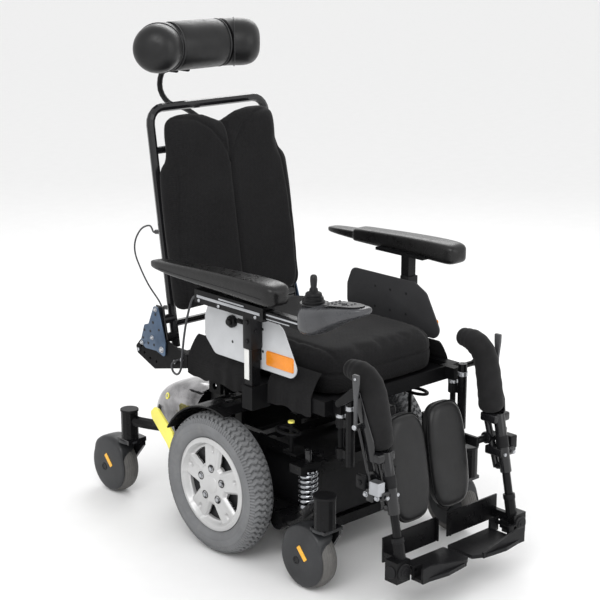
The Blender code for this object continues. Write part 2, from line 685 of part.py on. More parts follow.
def headrest_wing(s, centre):
    """Elbow that carries on from the bolster's end, then a straight stretch with a domed tip."""
    bend, r, steps = 0.066, 0.0605, 4
    stations = []
    for i in range(steps + 1):
        turn = WING_TURN * i / steps
        stations.append((0.0845 + bend * math.sin(turn), centre[0] - bend * (1 - math.cos(turn)), turn, r))
    x, y = stations[-1][:2]
    for along, radius in ((0.034, 0.0595), (0.052, 0.0520), (0.064, 0.0360), (0.069, 0.0200)):
        stations.append((x + along * math.cos(WING_TURN), y - along * math.sin(WING_TURN), WING_TURN,
                         radius))
    rings = []
    for x, y, turn, radius in stations:
        ring = []
        for k in range(20):
            angle = 2 * math.pi * k / 20
            out = radius * math.cos(angle)
            ring.append((s * (x + out * math.sin(turn)), y + out * math.cos(turn),
                         centre[1] + radius * math.sin(angle)))
        rings.append(ring)
    return loft(rings)


# ---------------------------------------------------------------- arms and joystick


def arm(side, s):
    """Post that slides in the seat's socket, the pad on it, and the side panel bolted to it."""
    x = s * POST_X
    post = fuse(
        box((x - 0.013, POST_Y - 0.013, 0.400), (x + 0.013, POST_Y + 0.013, 0.690)),
        box((s * 0.249, POST_Y - 0.060, 0.682), (s * 0.318, POST_Y + 0.105, 0.6895)),
        box((x, POST_Y - 0.012, 0.515), (s * 0.2435, POST_Y + 0.012, 0.600)),
    )
    if s < 0:
        guide = box((-0.312, -0.215, 0.636), (-0.276, 0.030, 0.668))
        strap = box((-0.300, -0.130, 0.655), (-0.262, -0.100, 0.684))
        channel = box((-0.3065, -0.30, 0.6413), (-0.2815, 0.0, 0.6627))
        post = cut(fuse(post, guide, strap), channel)
    node(post, f"arm_post_{side}", BLACK, (x, POST_Y, 0.42))
    front, rear = -0.292, 0.192
    half = [(rear, 0.026), (rear - 0.03, 0.030), (-0.020, 0.034), (-0.200, 0.041), (front, 0.038)]
    outline = [(s * (PAD_X + w), y) for y, w in half] + [(s * (PAD_X - w), y) for y, w in reversed(half)]
    pad = plate(rounded(outline, 0.012, 1), 0.690, PAD_TOP, "z")
    node(bevelled(pad, 0.010), f"arm_pad_{side}", LEATHER)
    profile = [(-0.262, 0.512), (-0.235, 0.492), (0.045, 0.492), (0.078, 0.512), (0.078, 0.585),
               (0.052, 0.625),
               (-0.178, 0.625), (-0.210, 0.600)]
    panel = plate(rounded(profile, 0.014, 2), *sorted((s * 0.2385, s * 0.2430)), "x")
    holes = [rod((s * 0.23, y, z), (s * 0.25, y, z), 0.0035)
             for z in (0.536, 0.590) for y in (-0.026, -0.080, -0.136)]
    node(cut(panel, *holes), f"side_panel_{side}", GREY_PLASTIC)


STICK = (-0.302, -0.372, 0.698)
BUTTON_Y = -0.468


def joystick():
    """Mounting bar in the arm's channel, the pod with its buttons, and a stick on two crossed pivots."""
    x, y, z = STICK
    bar = (
        box((-0.306, -0.360, 0.642), (-0.282, -0.010, 0.662), 0.002),
        box((-0.312, -0.365, 0.642), (-0.276, -0.335, 0.6660), 0.003),
    )
    outline = [(-0.330, -0.3505), (-0.272, -0.3505), (-0.250, -0.372), (-0.252, -0.420), (-0.262, -0.510),
               (-0.282, -0.532), (-0.306, -0.530), (-0.326, -0.500), (-0.346, -0.420), (-0.348, -0.372)]
    shell = plate(rounded(outline, 0.008, 2), 0.640, 0.715, "z")
    wedge = [(-0.60, 0.730), (-0.60, 0.716), (-0.54, 0.708), (-0.44, 0.704), (-0.405, 0.698),
             (-0.34, 0.698), (-0.34, 0.730)]
    belly = [(-0.60, 0.60), (-0.40, 0.60), (-0.42, 0.652), (-0.48, 0.676), (-0.54, 0.690), (-0.60, 0.694)]
    shell = cut(shell, plate(wedge, -0.40, -0.20, "x"), plate(belly, -0.40, -0.20, "x"))
    shell = cut(shell, rod((x, y, 0.6665), (x, y, 0.74), 0.0235))
    shell = cut(shell, rod((x, BUTTON_Y, 0.696), (x, BUTTON_Y, 0.74), 0.0068))
    node(fuse(shell, *bar), "joystick_pod", POD_GREY)
    node(rod((x, BUTTON_Y, 0.699), (x, BUTTON_Y, 0.7105), 0.0062), "power_button", PLASTIC)
    ring = cut(rod((x, y, 0.6755), (x, y, 0.6885), 0.0190), rod((x, y, 0.66), (x, y, 0.70), 0.0130))
    node(ring, "joystick_gimbal", PLASTIC, (x, y, 0.682))
    stick = turned([(0, 0.774), (0.005, 0.773), (0.0085, 0.767), (0.0085, 0.742), (0.0045, 0.735),
                    (0.0045, 0.730),
                    (0.0065, 0.728), (0.0065, 0.715), (0.0045, 0.713), (0.0045, 0.678), (0, 0.678)],
                   (0, 0, 1), (x, y, 0), 16)
    node(stick, "joystick_stick", POD_GREY, (x, y, 0.682))


# ---------------------------------------------------------------- leg rests


def on_leg(x, z, forward=0.0):
    """A point beside the leg rest's front tube at height z."""
    return (x, -0.493 + (z - 0.36) * math.tan(LEG_LEAN) - forward, z)


def leg_rest(side, s):
    x = s * HANGER_X
    hanger(side, s, x)
    leg_frame(side, s)
    knee_pad(side, s)
    calf_pad(side, s)
    foot(side, s)
    release_lever(side, s)


def hanger(side, s, x):
    """Swings on the seat's upright pin and carries the knee pivot on its outer plate."""
    tube_y = HANGER_Y - 0.030
    parts = [rod((x, tube_y, 0.305), (x, tube_y, HANGER_TOP + 0.0065), 0.011)]
    for low in (0.318, 0.392):
        parts.append(rod((x, HANGER_Y, low), (x, HANGER_Y, low + 0.024), 0.0125))
        parts.append(box((x - 0.006, tube_y, low + 0.002), (x + 0.006, HANGER_Y - 0.0085, low + 0.022)))
    parts.append(rod((x, tube_y, HANGER_TOP), (s * 0.2310, tube_y, HANGER_TOP), 0.007))
    link = arc(KNEE_PIVOT, 0.013, 50, 220, 6) + arc((tube_y, HANGER_TOP), 0.0075, 225, 405, 6)
    parts.append(plate(link, *sorted((s * 0.2265, s * 0.2315)), "x"))
    parts.append(rod((s * 0.2185, *KNEE_PIVOT), (s * 0.2335, *KNEE_PIVOT), 0.006))
    whole = fuse(*parts)
    bore = rod((x, HANGER_Y, 0.30), (x, HANGER_Y, 0.43), 0.0075)
    node(cut(whole, bore), f"leg_hanger_{side}", BLACK, (x, HANGER_Y, 0.37))


def leg_frame(side, s):
    """Elevating frame: outer strap from the knee, two tubes, clamp block and locking strut."""
    strap = [(KNEE_PIVOT[0] + 0.012, 0.508), (KNEE_PIVOT[0] - 0.012, 0.508), (-0.508, 0.330),
             (-0.476, 0.322)]
    x = s * LEG_X
    parts = [
        plate(rounded(strap, 0.006, 2), *sorted((s * 0.2195, s * 0.2245)), "x"),
        box((s * 0.166, -0.512, 0.318), (s * 0.2240, -0.432, 0.341)),
        rod(on_leg(x, 0.330), on_leg(x, 0.232), 0.0125),
        rod((x, -0.444, 0.335), (x, -0.486, 0.226), 0.009),
        rod((x, -0.482, 0.228), on_leg(x, 0.240), 0.008),
        box((s * 0.174, -0.520, 0.262), (s * 0.233, -0.452, 0.292)),
        rod((s * 0.229, -0.441, 0.428), (s * 0.229, -0.484, 0.285), 0.0035),
        rod((s * 0.222, -0.441, 0.428), (s * 0.2345, -0.441, 0.428), 0.0055),
        rod((s * 0.176, *CALF_PIVOT), (s * 0.208, *CALF_PIVOT), 0.016),
    ]
    whole = fuse(*parts)
    bore = rod(on_leg(x, 0.20), on_leg(x, 0.335), 0.0106)
    cross = rod((s * 0.15, *CALF_PIVOT), (s * 0.24, *CALF_PIVOT), 0.0095)
    knee = rod((s * 0.215, *KNEE_PIVOT), (s * 0.2260, *KNEE_PIVOT), 0.0065)
    node(cut(whole, bore, cross, knee), f"leg_frame_{side}", BLACK, (x, *KNEE_PIVOT))


CALF_PIVOT = (-0.462, 0.306)


def knee_pad(side, s):
    """Foam sleeve over the top of the leg rest, hooked back over the knee."""
    outline = [(-0.503, 0.345), (-0.492, 0.440), (-0.472, 0.525), (-0.448, 0.560), (-0.400, 0.567),
               (-0.366, 0.552),
               (-0.370, 0.524), (-0.408, 0.500), (-0.428, 0.440), (-0.447, 0.345)]
    centre = s * 0.189
    pad = plate(rounded(outline, 0.012, 1), centre - 0.0275, centre + 0.0275, "x")
    node(bevelled(pad, 0.012), f"knee_pad_{side}", FABRIC)


def calf_pad(side, s):
    """Oval pad on a bracket whose crossbar turns in the leg frame."""
    corners = [(s * 0.006, 0.165), (s * 0.130, 0.165), (s * 0.130, 0.412), (s * 0.006, 0.412)]
    if s < 0:
        corners.reverse()
    pad = bevelled(plate(rounded(corners, 0.050, 3), -0.455, -0.414, "y"), 0.008)
    y, z = CALF_PIVOT
    parts = [
        pad,
        rod((s * 0.143, y, z), (s * 0.236, y, z), 0.0089),
        box((s * 0.138, -0.472, z - 0.012), (s * 0.147, -0.4037, z + 0.012)),
        box((s * 0.060, -0.4180, z - 0.018), (s * 0.1465, -0.404, z + 0.018)),
    ]
    parts.append(rod((s * 0.234, y, z), (s * 0.243, y, z), 0.013))
    node(fuse(*parts), f"calf_pad_{side}", LEATHER, (s * LEG_X, y, z))


def foot(side, s):
    """Telescoping foot tube with its hinge block and heel plate, and the flip-up footplate."""
    x = s * LEG_X
    pin = (s * FOOT_PIVOT_X, FOOT_PIVOT_Z)
    parts = [
        rod(on_leg(x, 0.262), on_leg(x, 0.120), 0.0100),
        rod(on_leg(x, 0.167), on_leg(x, 0.120), 0.0135),
        box((s * 0.180, -0.560, 0.083), (s * 0.222, -0.522, 0.134)),
        box((s * 0.168, -0.549, 0.098), (s * 0.190, -0.525, 0.118)),
        rod((pin[0], -0.564, pin[1]), (pin[0], -0.503, pin[1]), 0.0050),
        box((s * 0.184, -0.530, 0.110), (s * 0.1955, -0.4875, 0.132)),
        box((s * 0.020, -0.4905, 0.106), (s * 0.196, -0.4865, 0.166)),
        box((s * 0.0200, -0.4995, 0.110), (s * 0.024, -0.487, 0.1655)),
    ]
    node(fuse(*parts), f"foot_tube_{side}", BLACK, on_leg(x, 0.25))
    curve = [(s * 0.160, -0.500), (s * 0.006, -0.502), (s * 0.006, -0.580), (s * 0.040, -0.598),
             (s * 0.100, -0.605),
             (s * 0.160, -0.596)]
    lip = [(s * 0.176, 0.0822), (s * 0.176, 0.118), (s * 0.150, 0.120), (s * 0.030, 0.096),
           (s * 0.030, 0.0822)]
    board = fuse(
        plate(rounded(curve, 0.005, 2), 0.083, 0.092, "z"),
        plate(lip, -0.596, -0.590, "y"),
        *[box((s * 0.150, low, 0.0845), (s * 0.179, low + 0.007, 0.1165)) for low in (-0.5700, -0.5125)],
        box((s * 0.155, -0.594, 0.0837), (s * 0.177, -0.566, 0.0910)),
    )
    hole = rod((pin[0], -0.58, pin[1]), (pin[0], -0.50, pin[1]), 0.0055)
    node(cut(board, hole), f"footplate_{side}", BLACK, (pin[0], -0.54, pin[1]))


def release_lever(side, s):
    """Spoon-shaped lever that unlocks the leg rest's angle."""
    low, high = sorted((s * 0.2352, s * 0.2420))
    spoon = [(-0.4475, 0.418), (-0.4345, 0.418), (-0.437, 0.470), (-0.431, 0.520), (-0.431, 0.550),
             (-0.440, 0.556),
             (-0.452, 0.552), (-0.455, 0.520), (-0.445, 0.470)]
    node(plate(rounded(spoon, 0.003, 2), low, high, "x"), f"release_lever_{side}", POD_GREY,
         (s * 0.238, -0.441, 0.428))


# ---------------------------------------------------------------- leads


JOYSTICK_LEAD = (
    (-0.294, 0.0320, 0.652), (-0.294, 0.060, 0.634), (-0.290, 0.086, 0.585), (-0.284, 0.108, 0.530),
    (-0.278, 0.125, 0.475), (-0.268, 0.144, 0.434), (-0.256, 0.174, 0.410), (-0.246, 0.204, 0.408),
    (-0.242, 0.214, 0.422), (-0.2415, 0.204, 0.433), (-0.2375, 0.196, 0.438), (-0.2315, 0.196, 0.438),
)


def leads():
    node(tube(JOYSTICK_LEAD, 0.0028, 2, 2), "joystick_lead", POD_GREY)
    stop, below = up_back(-BACK_TUBE_X, 0.295, -0.0305), up_back(-BACK_TUBE_X, 0.295, -0.040)
    foot_stop, above = up_back(-BACK_TUBE_X, 0.100, -0.0305), up_back(-BACK_TUBE_X, 0.100, -0.040)
    route = [stop, below, (-0.192, stop[1] + 0.022, 0.750), (-0.196, 0.388, 0.738), (-0.198, 0.412, 0.706),
             (-0.198, 0.416, 0.672),
             (-0.197, 0.398, 0.636), (-0.195, 0.366, 0.594), (-0.192, foot_stop[1] + 0.022, 0.560), above,
             foot_stop]
    node(tube(route, 0.0022, 2, 2), "recline_cable", POD_GREY)


def build():
    chassis()
    battery_box()
    shroud()
    control_module()
    seat_frame()
    tilt_actuator()
    cushion()
    back_frame()
    back_cushion()
    headrest()
    joystick()
    for side, s in SIDES:
        motor(side, s)
        drive_wheel(side, s)
        front_arm(side, s)
        shock(side, s)
        caster(side, "front", s, FRONT_BARREL, FRONT_TRAIL)
        caster(side, "rear", s, REAR_BARREL, REAR_TRAIL)
        freewheel_lever(side, s)
        arm(side, s)
        leg_rest(side, s)
    leads()


build()
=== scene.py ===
"""Looks of the power wheelchair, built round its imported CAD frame.

Shapes are laid out like the CAD part's: metres, +Z up, the chair faces -Y, heights above the floor,
and Y counted from the drive axle. piece() moves each finished shape by AXLE_Y into the row frame.
Tables inside mm() are written in millimetres.
"""

import math

import bmesh
import bpy
import numpy as np
from mathutils import Matrix, Vector


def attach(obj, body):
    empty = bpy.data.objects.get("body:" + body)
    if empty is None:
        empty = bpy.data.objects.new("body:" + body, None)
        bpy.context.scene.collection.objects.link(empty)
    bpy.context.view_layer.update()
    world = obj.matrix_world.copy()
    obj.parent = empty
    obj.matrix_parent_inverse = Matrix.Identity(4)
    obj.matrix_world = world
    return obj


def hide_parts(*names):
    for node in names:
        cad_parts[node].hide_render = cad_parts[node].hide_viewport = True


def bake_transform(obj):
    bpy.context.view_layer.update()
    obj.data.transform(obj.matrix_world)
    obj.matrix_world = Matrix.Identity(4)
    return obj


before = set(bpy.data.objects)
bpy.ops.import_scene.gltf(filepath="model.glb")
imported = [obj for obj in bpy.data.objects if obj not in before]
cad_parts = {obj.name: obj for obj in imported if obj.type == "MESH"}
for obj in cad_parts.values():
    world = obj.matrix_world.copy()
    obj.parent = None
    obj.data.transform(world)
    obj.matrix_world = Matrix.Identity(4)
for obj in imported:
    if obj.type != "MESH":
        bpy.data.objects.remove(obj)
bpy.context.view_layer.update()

AXLE_Y = 0.0165
SIDES = (("right", -1), ("left", 1))
RECLINE = math.radians(8.6)
BACK_PIVOT = (0.262, 0.450)
LEG_LEAN = math.radians(11.6)
WHEEL_X, WHEEL_Z = 0.305, 0.178
TYRE_X = 0.2685
ARM_PAD_X = 0.298
UP = Vector((0, 0, 1))


# ---------------------------------------------------------------- materials


def nodes_of(name):
    made = bpy.data.materials.new(name)
    made.use_nodes = True
    tree = made.node_tree
    return made, tree, tree.nodes["Principled BSDF"]


def add(tree, kind, **values):
    node = tree.nodes.new(kind)
    for key, value in values.items():
        if key in node.inputs:
            node.inputs[key].default_value = value
        else:
            setattr(node, key, value)
    return node


def noise(tree, where, scale, detail=4.0, rough=0.55):
    node = add(tree, "ShaderNodeTexNoise", Scale=scale, Detail=detail, Roughness=rough)
    tree.links.new(where, node.inputs["Vector"])
    return node.outputs["Fac"]


def ranged(tree, value, low, high, start=0.0, end=1.0):
    node = add(tree, "ShaderNodeMapRange")
    for key, number in zip(("From Min", "From Max", "To Min", "To Max"), (start, end, low, high)):
        node.inputs[key].default_value = number
    tree.links.new(value, node.inputs["Value"])
    return node.outputs["Result"]


def two_tone(tree, value, dark, light):
    node = add(tree, "ShaderNodeMix", data_type="RGBA")
    tree.links.new(value, node.inputs[0])
    node.inputs[6].default_value = (*dark, 1)
    node.inputs[7].default_value = (*light, 1)
    return node.outputs[2]


def bumped(tree, shader, height, strength, distance, under=None):
    node = add(tree, "ShaderNodeBump", Strength=strength, Distance=distance)
    tree.links.new(height, node.inputs["Height"])
    if under:
        tree.links.new(under, node.inputs["Normal"])
    tree.links.new(node.outputs["Normal"], shader.inputs["Normal"])
    return node.outputs["Normal"]


def shaded(colour, factor):
    return tuple(min(1.0, c * factor) for c in colour)


def finish_of(name, colour, rough, metallic=0.0, spread=0.25, grain=900, depth=0.0002, strength=0.25,
        rough_spread=0.08, sheen=0.0, coat=0.0, specular=0.3, dust=0.0):
    """A painted, moulded or cast surface: mottled colour, uneven gloss, fine grain, dusty patches. Where the
    spread is very wide, as on the dark chrome shell, the mottle is painted reflection.
    """
    made, tree, shader = nodes_of(name)
    where = add(tree, "ShaderNodeTexCoord").outputs["Object"]
    broad = noise(tree, where, 14, 5)
    colour_out = two_tone(tree, ranged(tree, broad, 0, 1, 0.3, 0.7), shaded(colour, 1 - spread),
        shaded(colour, 1 + spread))
    if dust:
        patch = ranged(tree, noise(tree, where, 38, 7, 0.7), 0, dust, 0.52, 0.8)
        node = add(tree, "ShaderNodeMix", data_type="RGBA")
        tree.links.new(patch, node.inputs[0])
        tree.links.new(colour_out, node.inputs[6])
        node.inputs[7].default_value = (0.34, 0.33, 0.31, 1)
        colour_out = node.outputs[2]
    tree.links.new(colour_out, shader.inputs["Base Color"])
    wear = noise(tree, where, 60, 6, 0.65)
    tree.links.new(ranged(tree, wear, rough - rough_spread, rough + rough_spread, 0.25, 0.75),
        shader.inputs["Roughness"])
    bumped(tree, shader, noise(tree, where, grain, 2), strength, depth)
    shader.inputs["Metallic"].default_value = metallic
    shader.inputs["Sheen Weight"].default_value = sheen
    shader.inputs["Coat Weight"].default_value = coat
    shader.inputs["Coat Roughness"].default_value = 0.12
    shader.inputs["Specular IOR Level"].default_value = specular
    return made


def woven(name, colour, scale=620, rough=0.85):
    """A stretch knit: two crossed sets of threads, lint and soft shading across the cloth."""
    made, tree, shader = nodes_of(name)
    where = add(tree, "ShaderNodeTexCoord").outputs["Object"]
    heights = []
    for turn in ((0.0, 0.0, 0.785), (0.0, 0.785, -0.785)):
        mapping = add(tree, "ShaderNodeMapping", Rotation=turn)
        tree.links.new(where, mapping.inputs["Vector"])
        wave = add(tree, "ShaderNodeTexWave", Scale=scale / 6.28, Distortion=1.2, Detail=1.0)
        tree.links.new(mapping.outputs["Vector"], wave.inputs["Vector"])
        heights.append(wave.outputs["Fac"])
    both = add(tree, "ShaderNodeMath", operation="MULTIPLY")
    tree.links.new(heights[0], both.inputs[0])
    tree.links.new(heights[1], both.inputs[1])
    lint = noise(tree, where, 210, 6, 0.75)
    broad = noise(tree, where, 9, 3)
    mix = add(tree, "ShaderNodeMath", operation="MULTIPLY_ADD")
    tree.links.new(both.outputs[0], mix.inputs[0])
    mix.inputs[1].default_value = 0.45
    tree.links.new(ranged(tree, lint, 0, 0.55, 0.35, 0.7), mix.inputs[2])
    tree.links.new(two_tone(tree, mix.outputs[0], shaded(colour, 0.55), shaded(colour, 1.9)),
        shader.inputs["Base Color"])
    tree.links.new(ranged(tree, broad, rough - 0.08, rough + 0.1, 0.3, 0.7), shader.inputs["Roughness"])
    soft = bumped(tree, shader, noise(tree, where, 46, 4), 0.35, 0.0016)
    bumped(tree, shader, both.outputs[0], 0.6, 0.0006, soft)
    shader.inputs["Sheen Weight"].default_value = 0.05
    shader.inputs["Sheen Roughness"].default_value = 0.45
    shader.inputs["Specular IOR Level"].default_value = 0.12
    return made


def leathery(name, colour, rough=0.42):
    """Smooth leatherette: a fine cell grain over slow undulations, its colour lighter on the raised places
    and darker in the low ones: painted highlight and painted shade.
    """
    made, tree, shader = nodes_of(name)
    where = add(tree, "ShaderNodeTexCoord").outputs["Object"]
    cells = add(tree, "ShaderNodeTexVoronoi", Scale=520.0)
    tree.links.new(where, cells.inputs["Vector"])
    slow = noise(tree, where, 26, 4)
    # The slow noise that lifts the surface also lightens its colour there: painted highlight on the rises,
    # painted shade in the hollows.
    tree.links.new(two_tone(tree, ranged(tree, slow, 0, 1, 0.3, 0.7), shaded(colour, 0.75),
        shaded(colour, 1.3)), shader.inputs["Base Color"])
    tree.links.new(ranged(tree, noise(tree, where, 80, 5), rough - 0.07, rough + 0.09, 0.3, 0.7),
        shader.inputs["Roughness"])
    soft = bumped(tree, shader, slow, 0.25, 0.002)
    bumped(tree, shader, cells.outputs["Distance"], 0.22, 0.0004, soft)
    shader.inputs["Specular IOR Level"].default_value = 0.32
    return made


BLACK = (0.0095, 0.0095, 0.0105)
MATERIALS = {
    "paint": finish_of("satin_black_paint", (0.0045, 0.0045, 0.005), 0.30, spread=0.2, grain=1500,
                       specular=0.15, dust=0.010),
    "rail": finish_of("matt_black_paint", (0.004, 0.004, 0.0045), 0.5, spread=0.2, grain=1500,
                      specular=0.10, dust=0.006),
    "gloss": finish_of("gloss_black_paint", (0.008, 0.008, 0.009), 0.18, grain=700, strength=0.06,
                       specular=0.35, coat=0.2),
    "plastic": finish_of("black_moulding", (0.008, 0.008, 0.0088), 0.42, grain=1300, strength=0.4,
                         specular=0.15, dust=0.012),
    "pod": finish_of("grey_moulding", (0.045, 0.046, 0.050), 0.30, grain=1500, strength=0.3, specular=0.45),
    # Shared dark moulding; on the wheels it also serves as painted shade (bolt wells, the disc behind the
    # spokes).
    "keypad": finish_of("keypad_moulding_and_painted_shade", (0.012, 0.012, 0.013), 0.38, grain=1500, strength=0.3,
                        specular=0.25),
    "lead": finish_of("lead_jacket", (0.045, 0.046, 0.05), 0.5, grain=600, strength=0.2),
    # Dark chrome shell: its broad streaks from near black to pale grey (spread 0.92) are painted
    # reflections, not a real mottle.
    "shell": finish_of("dark_chrome_painted_reflections", (0.24, 0.235, 0.24), 0.10, metallic=0.95, spread=0.92,
                       grain=13, depth=0.014, strength=0.4, coat=0.5),
    "chrome": finish_of("bright_plate", (0.36, 0.37, 0.39), 0.16, metallic=1.0, spread=0.25, grain=400,
                        strength=0.05),
    # Zinc plate; the thin strips on the joystick bar and guide use it as painted highlights.
    "steel": finish_of("zinc_plate_and_painted_highlights", (0.42, 0.43, 0.45), 0.32, metallic=0.9, spread=0.15, grain=600,
                       strength=0.15),
    "zinc": finish_of("blue_passivated_plate", (0.085, 0.125, 0.19), 0.34, metallic=0.6, spread=0.35,
                      grain=500, strength=0.2),
    "rim": finish_of("silver_wheel_paint", (0.52, 0.52, 0.52), 0.36, metallic=0.35, spread=0.06,
                     grain=1100, strength=0.12, coat=0.2, dust=0.05),
    # Near-black for the grey tyre's grooves: painted shade in the recesses, not a different rubber.
    "groove": finish_of("tyre_groove_painted_shade", (0.011, 0.011, 0.0115), 0.9, spread=0.3, grain=420,
                        strength=0.5, specular=0.1),
    "tyre": finish_of("grey_tyre_rubber", (0.155, 0.158, 0.163), 0.82, spread=0.14, grain=420,
                      strength=0.55, depth=0.0005, dust=0.22),
    "caster": finish_of("caster_rubber_grey", (0.105, 0.102, 0.098), 0.72, spread=0.14, grain=420,
                        strength=0.4, depth=0.0004, dust=0.18),
    "hub": finish_of("caster_hub_grey", (0.026, 0.027, 0.029), 0.36, grain=1100, strength=0.3,
                     specular=0.3, dust=0.03),
    "orange": finish_of("amber_reflector", (0.78, 0.25, 0.015), 0.24, spread=0.12, grain=900, strength=0.7,
                        depth=0.0008, coat=0.4),
    "amber": finish_of("yellow_reflector", (0.88, 0.46, 0.04), 0.28, spread=0.1, grain=900, strength=0.6,
                       depth=0.0006, coat=0.3),
    "yellow": finish_of("yellow_dip", (0.88, 0.80, 0.16), 0.38, spread=0.1, grain=700, strength=0.2),
    "panel": finish_of("grey_panel_moulding", (0.50, 0.51, 0.525), 0.5, spread=0.08, grain=1200,
                       strength=0.45, dust=0.03),
    "far_panel": finish_of("dark_panel_moulding", (0.034, 0.034, 0.036), 0.55, spread=0.1, grain=1200,
                           strength=0.45),
    "white": finish_of("white_nylon", (0.70, 0.70, 0.68), 0.5, spread=0.05, grain=900, strength=0.2),
    "lever": finish_of("grey_lever_moulding", (0.060, 0.061, 0.064), 0.4, grain=1100, strength=0.3),
    "battery": finish_of("battery_case", (0.009, 0.009, 0.010), 0.5, grain=900, strength=0.35,
                         specular=0.2, dust=0.015),
    "fabric": woven("black_stretch_knit", (0.0085, 0.0083, 0.0088)),
    "foam": finish_of("foam_sleeve", (0.0095, 0.0093, 0.0098), 0.8, spread=0.3, grain=700, strength=0.6,
                      depth=0.0006, sheen=0.06, specular=0.15),
    "leather": leathery("black_leatherette_grain", (0.0080, 0.0080, 0.0084), 0.36),
    "arm": leathery("black_arm_moulding", (0.0080, 0.0078, 0.0080), 0.30),
    "piping": leathery("piping", (0.018, 0.018, 0.019), 0.36),
    "floor": finish_of("pale_floor", (0.86, 0.86, 0.86), 0.7, spread=0.01, grain=60, strength=0.02),
}


# ---------------------------------------------------------------- shape helpers


def mm(*rows):
    """Rows of sizes written in millimetres, turned into metres."""
    return [tuple(round(size / 1000, 6) for size in row) for row in rows]


def both_ways(half):
    """A profile followed by its mirror image; the last row stands on the middle and is there once."""
    return half + [(radius, -along) for radius, along in reversed(half[:-1])]


def linked(name, data):
    obj = bpy.data.objects.new(name, data)
    bpy.context.scene.collection.objects.link(obj)
    return obj


def mesh_object(name, verts, faces):
    mesh = bpy.data.meshes.new(name)
    mesh.from_pydata([tuple(v) for v in verts], [], faces)
    mesh.update()
    obj = linked(name, mesh)
    tidy_normals(obj)
    return obj


def tidy_normals(obj):
    shape = bmesh.new()
    shape.from_mesh(obj.data)
    bmesh.ops.remove_doubles(shape, verts=shape.verts, dist=1e-6)
    bmesh.ops.recalc_face_normals(shape, faces=shape.faces)
    shape.to_mesh(obj.data)
    shape.free()


def applied(obj):
    """The object with its modifiers made part of its mesh."""
    bpy.context.view_layer.update()
    graph = bpy.context.evaluated_depsgraph_get()
    mesh = bpy.data.meshes.new_from_object(obj.evaluated_get(graph), depsgraph=graph)
    name, matrix = obj.name, obj.matrix_world.copy()
    bpy.data.objects.remove(obj, do_unlink=True)
    made = linked(name, mesh)
    made.matrix_world = matrix
    return made


def bevel(obj, width, segments=2, angle=30):
    step = obj.modifiers.new("bevel", "BEVEL")
    step.width, step.segments = width, segments
    step.limit_method, step.angle_limit = "ANGLE", math.radians(angle)
    return applied(obj)


def subdivide(obj, levels=1):
    step = obj.modifiers.new("subdivide", "SUBSURF")
    step.levels = step.render_levels = levels
    return applied(obj)


def thickened(obj, thickness, offset=0.0):
    step = obj.modifiers.new("thickness", "SOLIDIFY")
    step.thickness, step.offset = thickness, offset
    return applied(obj)


def box(low, high, round_by=0.001, segments=2):
    """A box between two opposite corners with rounded edges."""
    (x0, x1), (y0, y1), (z0, z1) = [sorted(pair) for pair in zip(low, high)]
    verts = [(x, y, z) for x in (x0, x1) for y in (y0, y1) for z in (z0, z1)]
    faces = [(0, 1, 3, 2), (4, 6, 7, 5), (0, 4, 5, 1), (2, 3, 7, 6), (0, 2, 6, 4), (1, 5, 7, 3)]
    obj = mesh_object("box", verts, faces)
    return bevel(obj, round_by, segments) if round_by else obj


def plate(outline, low, high, across="x", round_by=0.0, segments=2):
    """An outline of (a, b) points made solid between low and high along the named axis."""
    place = {"x": lambda a, b, c: (c, a, b), "y": lambda a, b, c: (a, c, b),
        "z": lambda a, b, c: (a, b, c)}[across]
    count = len(outline)
    verts = [place(a, b, low) for a, b in outline] + [place(a, b, high) for a, b in outline]
    faces = [tuple(range(count)), tuple(range(2 * count - 1, count - 1, -1))]
    faces += [(i, (i + 1) % count, (i + 1) % count + count, i + count) for i in range(count)]
    obj = mesh_object("plate", verts, faces)
    return bevel(obj, round_by, segments) if round_by else obj


def side_plate(corners, radius, steps, s, inner, outer, round_by, segments=2):
    """An upright plate with rounded corners on side s, between two distances from the chair's middle."""
    return plate(rounded(corners, radius, steps), *sorted((s * inner, s * outer)), "x", round_by, segments)


def rounded(corners, radius, steps=5):
    """An outline whose corners are arcs."""
    outline = []
    for i, corner in enumerate(corners):
        here = Vector(corner)
        back = (Vector(corners[i - 1]) - here).normalized()
        ahead = (Vector(corners[(i + 1) % len(corners)]) - here).normalized()
        half = math.acos(max(-1, min(1, back.dot(ahead)))) / 2
        reach = radius / math.tan(half)
        middle = here + (back + ahead).normalized() * radius / math.sin(half)
        start, end = here + back * reach - middle, here + ahead * reach - middle
        for step in range(steps + 1):
            outline.append(tuple(middle + start.slerp(end, step / steps).normalized() * radius))
    return outline


def skin(rows, count, ring=True, closed=False):
    """Faces between rows of equally many points: rings or open lines, the last may meet the first."""
    faces = []
    for row in range(rows if closed else rows - 1):
        here, after = row * count, (row + 1) % rows * count
        for i in range(count if ring else count - 1):
            j = (i + 1) % count
            faces.append((here + i, here + j, after + j, after + i))
    return faces


def loft(rings, cap=True):
    """A skin through rings of equally many points."""
    count = len(rings[0])
    verts = [p for ring in rings for p in ring]
    faces = skin(len(rings), count)
    if cap:
        faces.append(tuple(range(count)))
        faces.append(tuple(range((len(rings) - 1) * count, len(rings) * count)))
    return mesh_object("loft", verts, faces)


